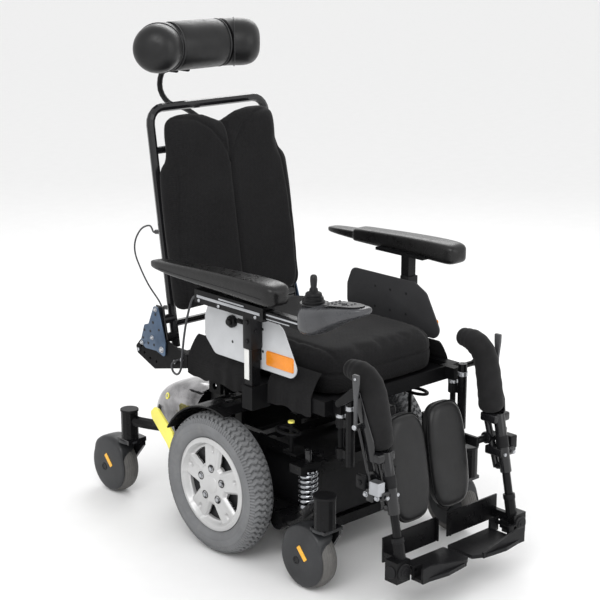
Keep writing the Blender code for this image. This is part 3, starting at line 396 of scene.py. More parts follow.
def turned(profile, axis, centre, sides=48):
    """A shape turned about an axis through centre; profile lists (radius, place along the axis)."""
    turn = Vector(axis).normalized().to_track_quat("Z", "Y").to_matrix()
    rings = []
    for radius, along in profile:
        ring = []
        for i in range(sides):
            angle = 2 * math.pi * i / sides
            ring.append(Vector(centre) + turn @ Vector((radius * math.cos(angle), radius * math.sin(angle),
                along)))
        rings.append(ring)
    closed = profile[0][0] > 1e-6 and profile[0] == profile[-1]
    obj = loft(rings, cap=False)
    if not closed:
        shape = bmesh.new()
        shape.from_mesh(obj.data)
        edges = [e for e in shape.edges if e.is_boundary]
        if edges:
            bmesh.ops.holes_fill(shape, edges=edges, sides=0)
        bmesh.ops.recalc_face_normals(shape, faces=shape.faces)
        shape.to_mesh(obj.data)
        shape.free()
    return obj


def rod(start, end, radius, round_by=0.0, sides=24):
    """A round bar between two points."""
    start, end = Vector(start), Vector(end)
    length = (end - start).length
    r = min(round_by, radius * 0.9, length * 0.4)
    if r:
        profile = [(0, 0), (radius - r, 0), (radius - 0.3 * r, 0.3 * r), (radius, r), (radius, length - r),
            (radius - 0.3 * r, length - 0.3 * r), (radius - r, length), (0, length)]
    else:
        profile = [(0, 0), (radius, 0), (radius, length), (0, length)]
    return turned(profile, end - start, start, sides)


def smooth_path(points, steps=6):
    """Catmull-Rom points through a list of points."""
    ends = [Vector(p) for p in points]
    ends = [2 * ends[0] - ends[1], *ends, 2 * ends[-1] - ends[-2]]
    path = []
    for a, b, c, d in zip(ends, ends[1:], ends[2:], ends[3:]):
        for step in range(steps):
            t = step / steps
            path.append(0.5 * (2 * b + (c - a) * t + (2 * a - 5 * b + 4 * c - d) * t**2
                + (3 * b - a - 3 * c + d) * t**3))
    return [*path, ends[-2]]


def tube(points, radius, steps=6, sides=5):
    """A bent round bar as a mesh."""
    path = smooth_path(points, steps) if steps else [Vector(p) for p in points]
    curve = bpy.data.curves.new("tube", "CURVE")
    curve.dimensions = "3D"
    curve.bevel_depth, curve.bevel_resolution, curve.use_fill_caps = radius, sides, True
    spline = curve.splines.new("POLY")
    spline.points.add(len(path) - 1)
    for point, place in zip(spline.points, path):
        point.co = (*place, 1)
    obj = applied(linked("tube", curve))
    tidy_normals(obj)
    return obj


def joined(*objects):
    """Several shapes in one mesh."""
    shape = bmesh.new()
    for obj in objects:
        mesh = obj.data.copy()
        mesh.transform(obj.matrix_world)
        shape.from_mesh(mesh)
    for obj in objects:
        bpy.data.objects.remove(obj, do_unlink=True)
    mesh = bpy.data.meshes.new("joined")
    shape.to_mesh(mesh)
    shape.free()
    return linked("joined", mesh)


def piece(obj, name, body, material, replaces=(), flat=False, angle=40):
    """Names a finished shape, moves it into the row frame, gives it its finish and its body."""
    obj.data.transform(obj.matrix_world)
    obj.matrix_world = Matrix.Identity(4)
    obj.data.transform(Matrix.Translation((0, AXLE_Y, 0)))
    obj.name = obj.data.name = name
    obj.data.materials.clear()
    obj.data.materials.append(MATERIALS[material])
    if not flat:
        obj.data.shade_smooth()
        obj.data.set_sharp_from_angle(angle=math.radians(angle))
    if body:
        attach(obj, body)
    if replaces:
        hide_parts(*replaces)
    return obj


def fitting(shapes, name, body, material="steel"):
    """Several small shapes as one finished piece."""
    return piece(joined(*shapes), name, body, material)


def sausage(path, radii, sides=28, dome=4):
    """A soft round bar along a path: one radius per point, with domed ends."""
    path = [Vector(p) for p in path]
    rings, side, last = [], None, len(path) - 1
    for i, (place, radius) in enumerate(zip(path, radii)):
        along = (path[min(i + 1, last)] - path[max(i - 1, 0)]).normalized()
        if side is None:
            side = along.orthogonal().normalized() if abs(along.x) > 0.9 else Vector((1, 0, 0))
        side = (side - along * side.dot(along)).normalized()
        other = along.cross(side)
        for step in range(-dome, 1) if i == 0 else range(dome + 1) if i == last else [0]:
            turn = step / dome * math.pi / 2
            centre, size = place + along * radius * 0.6 * math.sin(turn), radius * max(math.cos(turn), 0.02)
            rings.append([centre + (side * math.cos(2 * math.pi * k / sides) + other
                * math.sin(2 * math.pi * k / sides)) * size for k in range(sides)])
    return loft(rings)


def oval(centre, half_a, half_b, power=2.6, count=40):
    """Points (a, b) on a superellipse."""
    out = []
    for i in range(count):
        t = 2 * math.pi * i / count
        c, s = math.cos(t), math.sin(t)
        out.append((centre[0] + half_a * math.copysign(abs(c) ** (2 / power), c), centre[1] + half_b
            * math.copysign(abs(s) ** (2 / power), s)))
    return out


def circle(centre, a, b, count, closed=False):
    """Points round centre through centre + a and centre + b, with the first one again where closed."""
    turns = [2 * math.pi * k / count for k in range(count + closed)]
    return [Vector(centre) + a * math.cos(turn) + b * math.sin(turn) for turn in turns]


def puffed(obj, voxel, cap, frames=16, pressure=4.0):
    """The shape swollen like a stuffed cover, by no more than cap."""
    step = obj.modifiers.new("remesh", "REMESH")
    step.mode, step.voxel_size = "VOXEL", voxel
    obj = applied(obj)
    start = np.array([v.co for v in obj.data.vertices])
    bpy.context.view_layer.objects.active = obj
    cloth = obj.modifiers.new("cloth", "CLOTH")
    cloth.settings.quality = 4
    cloth.settings.use_pressure = True
    cloth.settings.uniform_pressure_force = pressure
    cloth.settings.effector_weights.gravity = 0
    cloth.point_cache.frame_start, cloth.point_cache.frame_end = 1, frames
    for number in range(1, frames + 1):
        bpy.context.scene.frame_set(number)
    graph = bpy.context.evaluated_depsgraph_get()
    swollen = obj.evaluated_get(graph).to_mesh()
    end = np.array([v.co for v in swollen.vertices])
    obj.modifiers.remove(cloth)
    bpy.context.scene.frame_set(1)
    move = end - start
    length = np.linalg.norm(move, axis=1, keepdims=True)
    move *= np.minimum(1, cap / np.maximum(length, 1e-9))
    obj.data.vertices.foreach_set("co", (start + move).astype(np.float32).ravel())
    obj.data.update()
    return subdivide(obj)


def eased(value, low, high):
    share = min(1, max(0, (value - low) / (high - low)))
    return share * share * (3 - 2 * share)


def distance_to(points, line):
    """Distance of each 2-D point to an open line of corners."""
    best = np.full(len(points), 9.0)
    for a, b in zip(line, line[1:]):
        a, b = np.array(a), np.array(b)
        along = np.clip(((points - a) @ (b - a)) / max((b - a) @ (b - a), 1e-12), 0, 1)
        best = np.minimum(best, np.linalg.norm(points - a - along[:, None] * (b - a), axis=1))
    return best


def grooved(obj, lines, axes, facing, depth, width):
    """Sewn channels pressed into the side that faces along facing, following lines drawn on two axes."""
    count = len(obj.data.vertices)
    place = np.empty(count * 3)
    obj.data.vertices.foreach_get("co", place)
    place = place.reshape(-1, 3)
    normal = np.array([v.normal for v in obj.data.vertices])
    turned_to = np.clip(normal @ np.array(facing) * 2, 0, 1)
    press = np.zeros(count)
    for line in lines:
        press = np.maximum(press, np.exp(-(distance_to(place[:, axes], line) / width) ** 2))
    place -= np.array(facing) * (press * turned_to * depth)[:, None]
    obj.data.vertices.foreach_set("co", place.astype(np.float32).ravel())
    obj.data.update()


# ---------------------------------------------------------------- soft parts


def leaned(obj):
    """A shape made in the back's own frame (x across, y backwards, z up the back) put where the back is."""
    obj.data.transform(Matrix.Translation((0, *BACK_PIVOT)) @ Matrix.Rotation(-RECLINE, 4, "X"))
    return obj


def up_back(x, along, forward=0.0):
    y = BACK_PIVOT[0] + along * math.sin(RECLINE) - forward * math.cos(RECLINE)
    z = BACK_PIVOT[1] + along * math.cos(RECLINE) + forward * math.sin(RECLINE)
    return (x, y, z)


def back_cushion():
    half = mm((6, 566), (30, 575), (60, 586), (100, 592), (140, 591), (168, 584), (180, 570), (184, 540),
        (185, 500), (191, 476), (205, 462), (213, 446), (217, 380), (218, 300), (217, 200), (214, 110),
        (206, 94), (190, 88), (0, 87))
    outline = half + [(-x, z) for x, z in reversed(half[:-1])]
    rings = []
    centre = Vector((0, 0.33))
    for y, inset in mm((-64, 30), (-62, 16), (-56, 6), (-46, 1), (-36, 0), (-26, 3), (-20, 12), (-18, 30)):
        ring = []
        for x, z in outline:
            out = Vector((x, z)) - centre
            ring.append((x - math.copysign(min(inset, abs(x)), x), y, z - math.copysign(inset, out.y)))
        rings.append(ring)
    cushion = puffed(loft(rings), 0.0075, 0.009)
    seams = [[(0, 0.585), (0, 0.075)]]
    for s in (-1, 1):
        seams.append([(s * x, z) for x, z in mm((0, 455), (20, 500), (52, 540), (95, 567), (150, 575),
            (182, 568))])
        seams.append([(s * x, z) for x, z in mm((172, 575), (168, 480), (176, 400), (186, 300), (188, 180),
            (182, 95))])
    grooved(cushion, seams[:1], [0, 2], (0, -1, 0), 0.0065, 0.0055)
    grooved(cushion, seams[1:], [0, 2], (0, -1, 0), 0.0040, 0.0045)
    obj = piece(leaned(cushion), "back_cushion_cover", "back", "fabric", ["back_cushion"])


def seat_cushion():
    rings = []
    for z, inset in mm((446.5, 20), (448, 8), (455, 2), (480, 0), (510, 1), (526, 5), (536, 14), (541, 30)):
        rings.append([(x, y, z) for x, y in oval((0, -0.0565), 0.194 - inset, 0.258 - inset, 7, 96)])
    cushion = puffed(loft(rings), 0.0075, 0.009)
    grooved(cushion, [[(-0.15, -0.312), (-0.15, 0.2)], [(0.15, -0.312), (0.15, 0.2)]], [0, 1], (0, 0, 1),
        0.0028, 0.005)
    grooved(cushion, [[(-0.25, 0.496), (0.25, 0.496)]], [0, 2], (0, -1, 0), 0.0035, 0.003)
    grooved(cushion, [[(-0.35, 0.496), (0.35, 0.496)]], [1, 2], (-1, 0, 0), 0.0035, 0.003)
    obj = piece(cushion, "seat_cushion_cover", "seat", "fabric", ["seat_cushion"])


def headrest():
    centre = (0.405, 1.192)
    profile = both_ways(mm((0, -83.5), (40, -83.5), (54, -81), (60, -76), (62.2, -66), (62.5, -30),
        (62.8, 0)))
    roll = turned(profile, (1, 0, 0), (0, *centre), 56)
    piping = [tube([(x, centre[0] + 0.0605 * math.cos(t), centre[1] + 0.0605 * math.sin(t))
        for t in [2 * math.pi * i / 48 for i in range(49)]], 0.0022, 0, 3) for x in (-0.076, 0.076)]
    mount = [box((-0.024, 0.438, 1.136), (0.024, 0.462, 1.182), 0.004),
        box((-0.0245, 0.452, 1.116), (-0.0135, 0.500, 1.158), 0.004),
        box((0.0135, 0.452, 1.116), (0.0245, 0.500, 1.158), 0.004)]
    obj = piece(roll, "headrest_bolster", "head_pad", "leather", ["headrest_pad"])
    fitting(piping, "headrest_piping", "head_pad", "piping")
    fitting(mount, "headrest_mount", "head_pad", "plastic")
    for side, s in SIDES:
        turn = math.radians(38)
        path, radii = [], []
        for i in range(7):
            a = turn * i / 6
            path.append((s * (0.0845 + 0.062 * math.sin(a)), centre[0] - 0.062 * (1 - math.cos(a)),
                centre[1]))
            radii.append(0.0618)
        tip = Vector(path[-1])
        out = Vector((s * math.cos(turn), -math.sin(turn), 0))
        for along, radius in mm((18, 62), (34, 60.5), (47, 56), (57, 48), (64.5, 36), (69, 22)):
            path.append(tuple(tip + out * along))
            radii.append(radius)
        rings = []
        for i, place in enumerate(path):
            a = min(i / 6, 1) * turn
            along = Vector((s * math.cos(a), -math.sin(a), 0))
            side_way = Vector((s * math.sin(a), math.cos(a), 0))
            rings.append(circle(place, side_way * radii[i], UP * radii[i], 48))
        wing = subdivide(loft(rings))
        obj = piece(wing, f"headrest_wing_{side}_pad", f"wing_{side}", "leather",
            [f"headrest_wing_{side}"])
        ring = circle(tip, Vector((s * math.sin(turn), math.cos(turn), 0)) * 0.0622, UP * 0.0622, 48, True)
        piece(tube(ring, 0.0020, 0, 3), f"headrest_wing_{side}_piping", f"wing_{side}",
            "piping")


PAD_FRONT = mm((20, 29, 722.5, 681.5), (-60, 31.5, 727, 680.5), (-140, 33.5, 730, 679.5),
    (-195, 34.5, 731, 678), (-230, 34.5, 730.5, 677), (-247, 33, 728, 677.5), (-258, 28, 724, 681),
    (-263.5, 18, 717, 688), (-265, 7, 709, 697))
PAD_REAR = {
    "right": mm((205, 5, 703, 696), (201, 13, 706.5, 692.5), (190, 19, 709.5, 689.5),
                (155, 23.5, 713, 686), (90, 26.5, 718, 683)),
    "left": mm((205, 5, 700, 694.5), (201, 13, 703, 692), (190, 19, 705.5, 690), (150, 23, 708, 688),
               (94, 25, 711, 686), (92.5, 25.2, 711.2, 685.8), (92, 26.2, 715, 683.5),
               (90, 27.8, 717.5, 682.2), (86, 28.2, 719, 682)),
}


def arm_pads():
    """Long tapered pads; the far one has a thinner tail behind a step."""
    for side, s in SIDES:
        stations = PAD_REAR[side] + PAD_FRONT
        rings = []
        for y, half, top, under in stations:
            middle, tall = (top + under) / 2, (top - under) / 2
            rings.append([(s * ARM_PAD_X + a, y, middle + b) for a, b in oval((0, 0), half, tall, 4.2, 40)])
        pad = subdivide(loft(rings))
        obj = piece(pad, f"arm_pad_{side}_cover", f"arm_{side}", "arm",
            [f"arm_pad_{side}"])
        line = [(s * (ARM_PAD_X + half - 0.0002), y, under + 0.36 * (top - under))
            for y, half, top, under in stations if -0.235 < y < 0.16]
        piece(tube(line, 0.0009, 4, 2), f"arm_pad_{side}_parting", f"arm_{side}",
            "plastic")


CALF_LEAN = 0.17
CALF_X, CALF_Z = 0.068, 0.2885


def leg_pads():
    for side, s in SIDES:
        x = s * 0.189
        path = smooth_path([(x, -0.4690, 0.388), (x, -0.4650, 0.418), (x, -0.459, 0.452),
            (x, -0.450, 0.490), (x, -0.436, 0.518), (x, -0.412, 0.5340), (x, -0.391, 0.5380),
            (x, -0.375, 0.5385)], 5)
        count = len(path)
        radii = [(0.0292 + 0.0016 * math.cos(math.pi * i / count) + 0.0007 * math.sin(i * 1.7))
            * (1 - 0.20 * eased(i / count, 0.62, 1.0)) for i in range(count)]
        pad = subdivide(sausage(path, radii))
        obj = piece(pad, f"knee_pad_{side}_foam", f"leg_{side}", "foam",
            [f"knee_pad_{side}"])
        rings = []
        for y, inset in mm((-456.5, 26), (-455.5, 12), (-451, 4), (-443, 0), (-430, 0), (-422, 2),
                (-416.5, 8), (-414.5, 22)):
            rings.append([(a, y, b) for a, b in oval((s * CALF_X, CALF_Z), 0.0620 - inset, 0.1235 - inset,
                3.4, 56)])
        lean = Matrix(((1, 0, 0, 0), (0, 1, CALF_LEAN, -CALF_LEAN * CALF_Z), (0, 0, 1, 0), (0, 0, 0, 1)))
        pad = subdivide(loft(rings))
        pad.data.transform(lean)
        obj = piece(pad, f"calf_pad_{side}_cover", f"calf_{side}", "leather",
            [f"calf_pad_{side}"])
        edge = [(a, -0.4415 + CALF_LEAN * (b - CALF_Z), b) for a, b in oval((s * CALF_X, CALF_Z), 0.0624,
            0.1239, 3.4, 56)]
        bracket = [tube([*edge, edge[0]], 0.0016, 0, 3), rod((s * 0.143, -0.462, 0.306),
            (s * 0.236, -0.462, 0.306), 0.0085, 0.002), box((s * 0.137, -0.472, 0.294),
            (s * 0.147, -0.404, 0.318), 0.002), box((s * 0.060, -0.4145, 0.288),
            (s * 0.147, -0.404, 0.324), 0.002), box((s * 0.233, -0.476, 0.290),
            (s * 0.2445, -0.448, 0.322), 0.003), rod((s * 0.244, -0.462, 0.306),
            (s * 0.2475, -0.462, 0.306), 0.0062, 0.001, 6)]
        fitting(bracket, f"calf_bracket_{side}", f"calf_{side}", "paint")


back_cushion()
seat_cushion()
headrest()
arm_pads()
leg_pads()


# ---------------------------------------------------------------- wheels


BLOCKS = 66
SHOULDER, CROWN = 0.1548, 0.1671


def tread_tyre(s):
    """Grey tyre: smooth walls with a ring line, a finely ribbed shoulder and zig-zag blocks on the crown.
    The groove floors and the shoulder's rib gaps take a near-black second material: painted shade in the
    recesses.
    """
    half = mm((118.2, 24.3), (119.5, 26.6), (123.5, 30.8), (129, 34), (135, 35.8), (138.5, 36.3),
        (139.5, 35.9), (140.5, 36.4), (146, 36.2), (151.5, 35.2), (154.5, 34.3), (155, 34.1), (158, 33.5),
        (161.5, 32.5), (164.5, 30.8), (166.8, 29), (167.2, 28.6), (169, 26.8), (170.6, 24.5), (172, 21.5),
        (173.3, 18.5), (174.5, 15.2), (175.5, 11.8), (176.3, 8.5), (176.9, 5.2), (177.2, 2.4))
    section = both_ways(half + [(0.1773, 0.0)])
    around = BLOCKS * 14
    angle = np.arange(around) * 2 * math.pi / around
    verts, deep = [], []
    for radius, along in section:
        side_shift = 0.0 if along > 0 else math.pi / BLOCKS
        r, a, dark = np.full(around, radius), np.full(around, along), np.zeros(around, bool)
        if radius > CROWN:
            zig = 0.42 * np.abs((abs(along) / 0.0095) % 2 - 1)
            phase = ((angle + side_shift) * BLOCKS / (2 * math.pi) + zig) % 1
            cut = np.clip((0.20 - np.abs(phase - 0.5)) / 0.07, 0, 1)
            middle = 0.0026 * np.where(((angle * BLOCKS / math.pi) % 2) < 1, 1, -1)
            line = np.clip((0.0024 - np.abs(along - middle)) / 0.0008, 0, 1)
            cut = np.maximum(cut, line)
            r = radius - 0.0064 * cut
            # Faces deep in the crown grooves are marked for the painted groove shade.
            dark = cut > 0.30
        elif radius > SHOULDER:
            phase = ((angle + side_shift) * BLOCKS * 2 / (2 * math.pi)) % 1
            cut = np.clip((0.24 - np.abs(phase - 0.5)) / 0.10, 0, 1)
            r = radius - 0.0012 * cut
            a = along - math.copysign(1, along) * 0.0024 * cut
            # The deeper rib gaps of the shoulder get the painted shade too.
            dark = (cut > 0.4) & (radius > 0.157)
        verts += [(s * (TYRE_X + v), u * math.cos(t), WHEEL_Z + u * math.sin(t))
            for u, v, t in zip(r, a, angle)]
        deep += list(dark)
    obj = mesh_object("tyre", verts, skin(len(section), around, closed=True))
    for face in obj.data.polygons:
        face.material_index = int(sum(deep[v] for v in face.vertices) >= 3)
    return obj


SPOKES = 5
FIRST_SPOKE = math.radians(90)
BOLT_CIRCLE = 0.0405
RIM_FACE = (0.004, 0.1075)


def rim_face(s):
    """Cast wheel face: five broad spokes with raised edges and slots, and deep gaps between them."""
    rows, around = 52, 360
    inner, outer = RIM_FACE
    verts, faces = [], []

    def spoke(angle):
        return (angle - FIRST_SPOKE + math.pi / SPOKES) % (2 * math.pi / SPOKES) - math.pi / SPOKES

    def half_width(radius):
        return 0.0200 + 0.14 * max(0, radius - 0.045)

    for i in range(rows):
        radius = inner + (outer - inner) * i / (rows - 1)
        for j in range(around):
            angle = 2 * math.pi * j / around
            across = radius * math.sin(spoke(angle))
            depth = -0.0105 - 0.0045 * min(1, max(0, (radius - 0.03) / 0.06)) ** 1.4
            if radius > 0.044:
                edge = math.exp(-((abs(across) - half_width(radius) + 0.0035) / 0.0028) ** 2)
                slot = math.exp(-(across / 0.0042) ** 4) * min(1, max(0, (radius - 0.079) / 0.004))
                slot *= min(1, max(0, (0.098 - radius) / 0.004))
                hollow = math.exp(-(across / 0.0125) ** 4) * min(1, max(0, (radius - 0.056) / 0.01))
                depth += 0.0016 * edge - 0.0018 * hollow * (radius < 0.1) - 0.0060 * slot
                gap = min(1, max(0, (abs(across) - half_width(radius) - 0.0005) / 0.004))
                gap *= min(1, max(0, (0.1005 - radius) / 0.004)) * min(1, max(0, (radius - 0.047) / 0.004))
                depth -= 0.0060 * gap
            if radius > 0.1000:
                depth += 0.0085 * min(1, (radius - 0.1000) / 0.005)
            verts.append((s * (WHEEL_X + depth), radius * math.cos(angle), WHEEL_Z + radius
                * math.sin(angle)))
    for i in range(rows - 1):
        radius = inner + (outer - inner) * (i + 0.5) / (rows - 1)
        for j in range(around):
            across = abs(radius * math.sin(spoke(2 * math.pi * (j + 0.5) / around)))
            if 0.054 < radius < 0.0930 and across > half_width(radius) + 0.0050:
                continue
            k = (j + 1) % around
            faces.append((i * around + j, i * around + k, (i + 1) * around + k, (i + 1) * around + j))
    faces.append(tuple(range(around)))
    obj = mesh_object("rim", verts, faces)
    outward = s * sum(face.normal.x * face.area for face in obj.data.polygons) > 0
    return thickened(obj, 0.008, -1.0 if outward else 1.0)


def drive_wheels():
    for side, s in SIDES:
        body = f"wheel_{side}"
        hub = (s * WHEEL_X, 0, WHEEL_Z)
        tyre = piece(tread_tyre(s), f"tyre_{side}_tread", body, "tyre", [f"tyre_{side}"],
            angle=32)
        # Second material: the near-black painted shade in the grooves.
        tyre.data.materials.append(MATERIALS["groove"])
        barrel = turned(mm((103.5, -12), (106.2, -5.5), (109, -5), (117.4, -9), (117.7, -12.5),
            (108.5, -16.5), (108, -58), (117.7, -62), (117.7, -67.2), (105, -67.2), (102, -56), (102, -20),
            (103.5, -12)), (s, 0, 0), hub, 96)
        centre = turned(mm((0, -8.5), (18, -8.5), (21.5, -9.5), (23.5, -12.5), (30, -15), (32, -30),
            (30, -56), (0, -56)), (s, 0, 0), hub, 64)
        piece(joined(rim_face(s), barrel, centre), f"rim_{side}_casting", body, "rim",
            [f"rim_{side}"])
        bolts, well_shades = [], []
        for i in range(SPOKES):
            angle = FIRST_SPOKE + 2 * math.pi * i / SPOKES
            place = (s * WHEEL_X, BOLT_CIRCLE * math.cos(angle), WHEEL_Z + BOLT_CIRCLE * math.sin(angle))
            # Dark discs round the bolts stand for the inside of the bolt wells: painted shade.
            well_shades.append(turned(mm((0, -11.2), (9.8, -11.2), (10.5, -10), (9, -9.6), (7.5, -11.2)),
                (s, 0, 0), place, 24))
            bolts.append(turned(mm((0, -6), (4, -6), (5.8, -7.2), (6.2, -11), (0, -11)), (s, 0, 0), place,
                6))
        piece(joined(*well_shades), f"wheel_well_shades_{side}", body, "keypad")
        piece(joined(*bolts), f"wheel_bolts_{side}", body, "steel")
        # Dark disc behind the spokes, seen through their gaps: painted shadow.
        shadow_disc = turned(mm((33.5, -30), (98, -30), (98, -34), (33.5, -34), (33.5, -30)), (s, 0, 0), hub, 64)
        piece(shadow_disc, f"wheel_shadow_{side}", body, "keypad")


CASTER_Z = 0.076
HOOD_STARTS, HOOD_ENDS = (22, 46), (128, 160)


def caster_hood(s, x, centre):
    """Smooth moulded cover of a caster fork: a disc over the outer face that wraps over the tyre's top."""
    face = mm((28, 62.5), (28.6, 50), (29, 30), (29.2, 12), (29.2, 3))
    bare = [(0.0240, 0.0675), (0.0242, 0.0680), (0.0245, 0.0685), (0.0250, 0.0689), (0.0256, 0.0690),
        (0.0263, 0.0687), (0.0272, 0.0675), *face]
    hood = [(-0.0235, 0.0790), (-0.0120, 0.0802), (0.0050, 0.0806), (0.0165, 0.0802), (0.0230, 0.0786),
        (0.0258, 0.0762), (0.0272, 0.0710), *face]
    around, verts, faces = 96, [], []
    for j in range(around):
        turn = 360 * j / around
        share = eased(turn, *HOOD_STARTS) * (1 - eased(turn, *HOOD_ENDS))
        angle = math.radians(turn)
        for (x0, r0), (x1, r1) in zip(bare, hood):
            out, radius = x0 + (x1 - x0) * share, r0 + (r1 - r0) * share
            verts.append((x + s * out, centre[1] + radius * math.cos(angle), centre[2] + radius
                * math.sin(angle)))
    count = len(bare)
    for j in range(around):
        k = (j + 1) % around
        for i in range(count - 1):
            faces.append((j * count + i, k * count + i, k * count + i + 1, j * count + i + 1))
    faces.append(tuple(j * count + count - 1 for j in range(around)))
    return thickened(mesh_object("hood", verts, faces), 0.0016)


def caster_wheel(side, s, end, x0, y0, trail):
    x, centre = s * x0, (s * x0, y0 + trail, CASTER_Z)
    body = f"{end}_caster_{side}"
    half = mm((55.5, 22.2), (60, 23.4), (65, 23), (69, 21.2), (71.6, 18.2), (72.2, 17), (71.4, 16),
        (72.6, 15), (73.7, 12), (73.9, 10.8), (73, 9.8), (74.2, 8.8), (75.2, 6), (75.3, 4.6), (74.4, 3.6),
        (75.6, 2.6), (75.8, 0))
    section = both_ways(half)
    tyre = turned([*section, section[0]], (s, 0, 0), centre, 96)
    piece(tyre, f"caster_{end}_{side}_tyre", body, "caster",
        [f"caster_wheel_{end}_{side}"])
    disc = turned(mm((0, 19), (50, 19), (56, 21), (56.5, 22.2), (56.5, -22.2), (53.5, -23.8), (13, -23.6),
        (11, -23.6), (0, -23.6)), (s, 0, 0), centre, 72)
    piece(disc, f"caster_{end}_{side}_hub", body, "hub")
    fork = f"{end}_fork_{side}"
    piece(caster_hood(s, x, centre), f"caster_{end}_{side}_cover", fork, "hub")
    face, bolt = x + s * 0.0300, (centre[1] + 0.016, centre[2] - 0.008)
    nut = joined(turned(mm((5.8, 0), (7.2, 1.8), (9.6, 1.8), (10.6, -0.5), (5.8, -0.5), (5.8, 0)),
        (s, 0, 0), (face, *bolt), 32), turned(mm((0, -0.4), (6.2, -0.4), (6.2, -1.2), (0, -1.2)),
        (s, 0, 0), (face + s * 0.0008, *bolt), 6))
    piece(nut, f"caster_{end}_{side}_bolt", fork, "keypad")
    outline = rounded(mm((-6.2, -17.5), (-6.2, 17.5), (6.2, 17.5), (6.2, -17.5))[::-1], 0.0015, 2)
    strip = plate([(a, b * 1.1) for a, b in outline], face - s * 0.001, face + s * 0.0010, "x")
    lean = Matrix.Rotation(math.radians(-42), 4, "X")
    strip.data.transform(Matrix.Translation((0, centre[1] - 0.004, centre[2] + 0.015)) @ lean)
    piece(strip, f"caster_{end}_{side}_reflector", fork, "amber")
    crown = loft([[(x + s * (0.0015 + a), y0 + 0.004 + b, z) for a, b in oval((0, 0), wide, deep, 2.6, 40)]
        for z, wide, deep in mm((153, 22.5, 24.5), (153.5, 24.5, 26.5), (159, 24.5, 26.5),
        (160.5, 23, 25))])
    piece(crown, f"caster_{end}_{side}_crown", fork, "hub")
    wide, height, held_by = 0.0276, 0.2350, f"suspension_{side}"
    if end == "rear":
        wide, height, held_by = 0.0246, 0.2405, "base"
    cap = turned([(0, 0.0), (wide - 0.0010, 0.0), (wide, 0.0008), (wide, 0.0050), (wide - 0.0008, 0.0060),
        (0, 0.0064)], (0, 0, 1), (x, y0, height), 48)
    piece(cap, f"caster_{end}_{side}_cap", held_by, "plastic")


drive_wheels()
for side, s in SIDES:
    caster_wheel(side, s, "front", 0.245, -0.350, 0.049)
    caster_wheel(side, s, "rear", 0.220, 0.431, 0.065)


# ---------------------------------------------------------------- joystick


STICK = (-0.302, -0.372, 0.708)
KEYPAD_X = -0.298
BUTTON_Y = -0.468


def rise(y):
    """How far the pod's top has climbed at y, from the stick towards the tip."""
    return 0.010 + 0.016 * min(1, max(0, (STICK[1] - y) / 0.158))


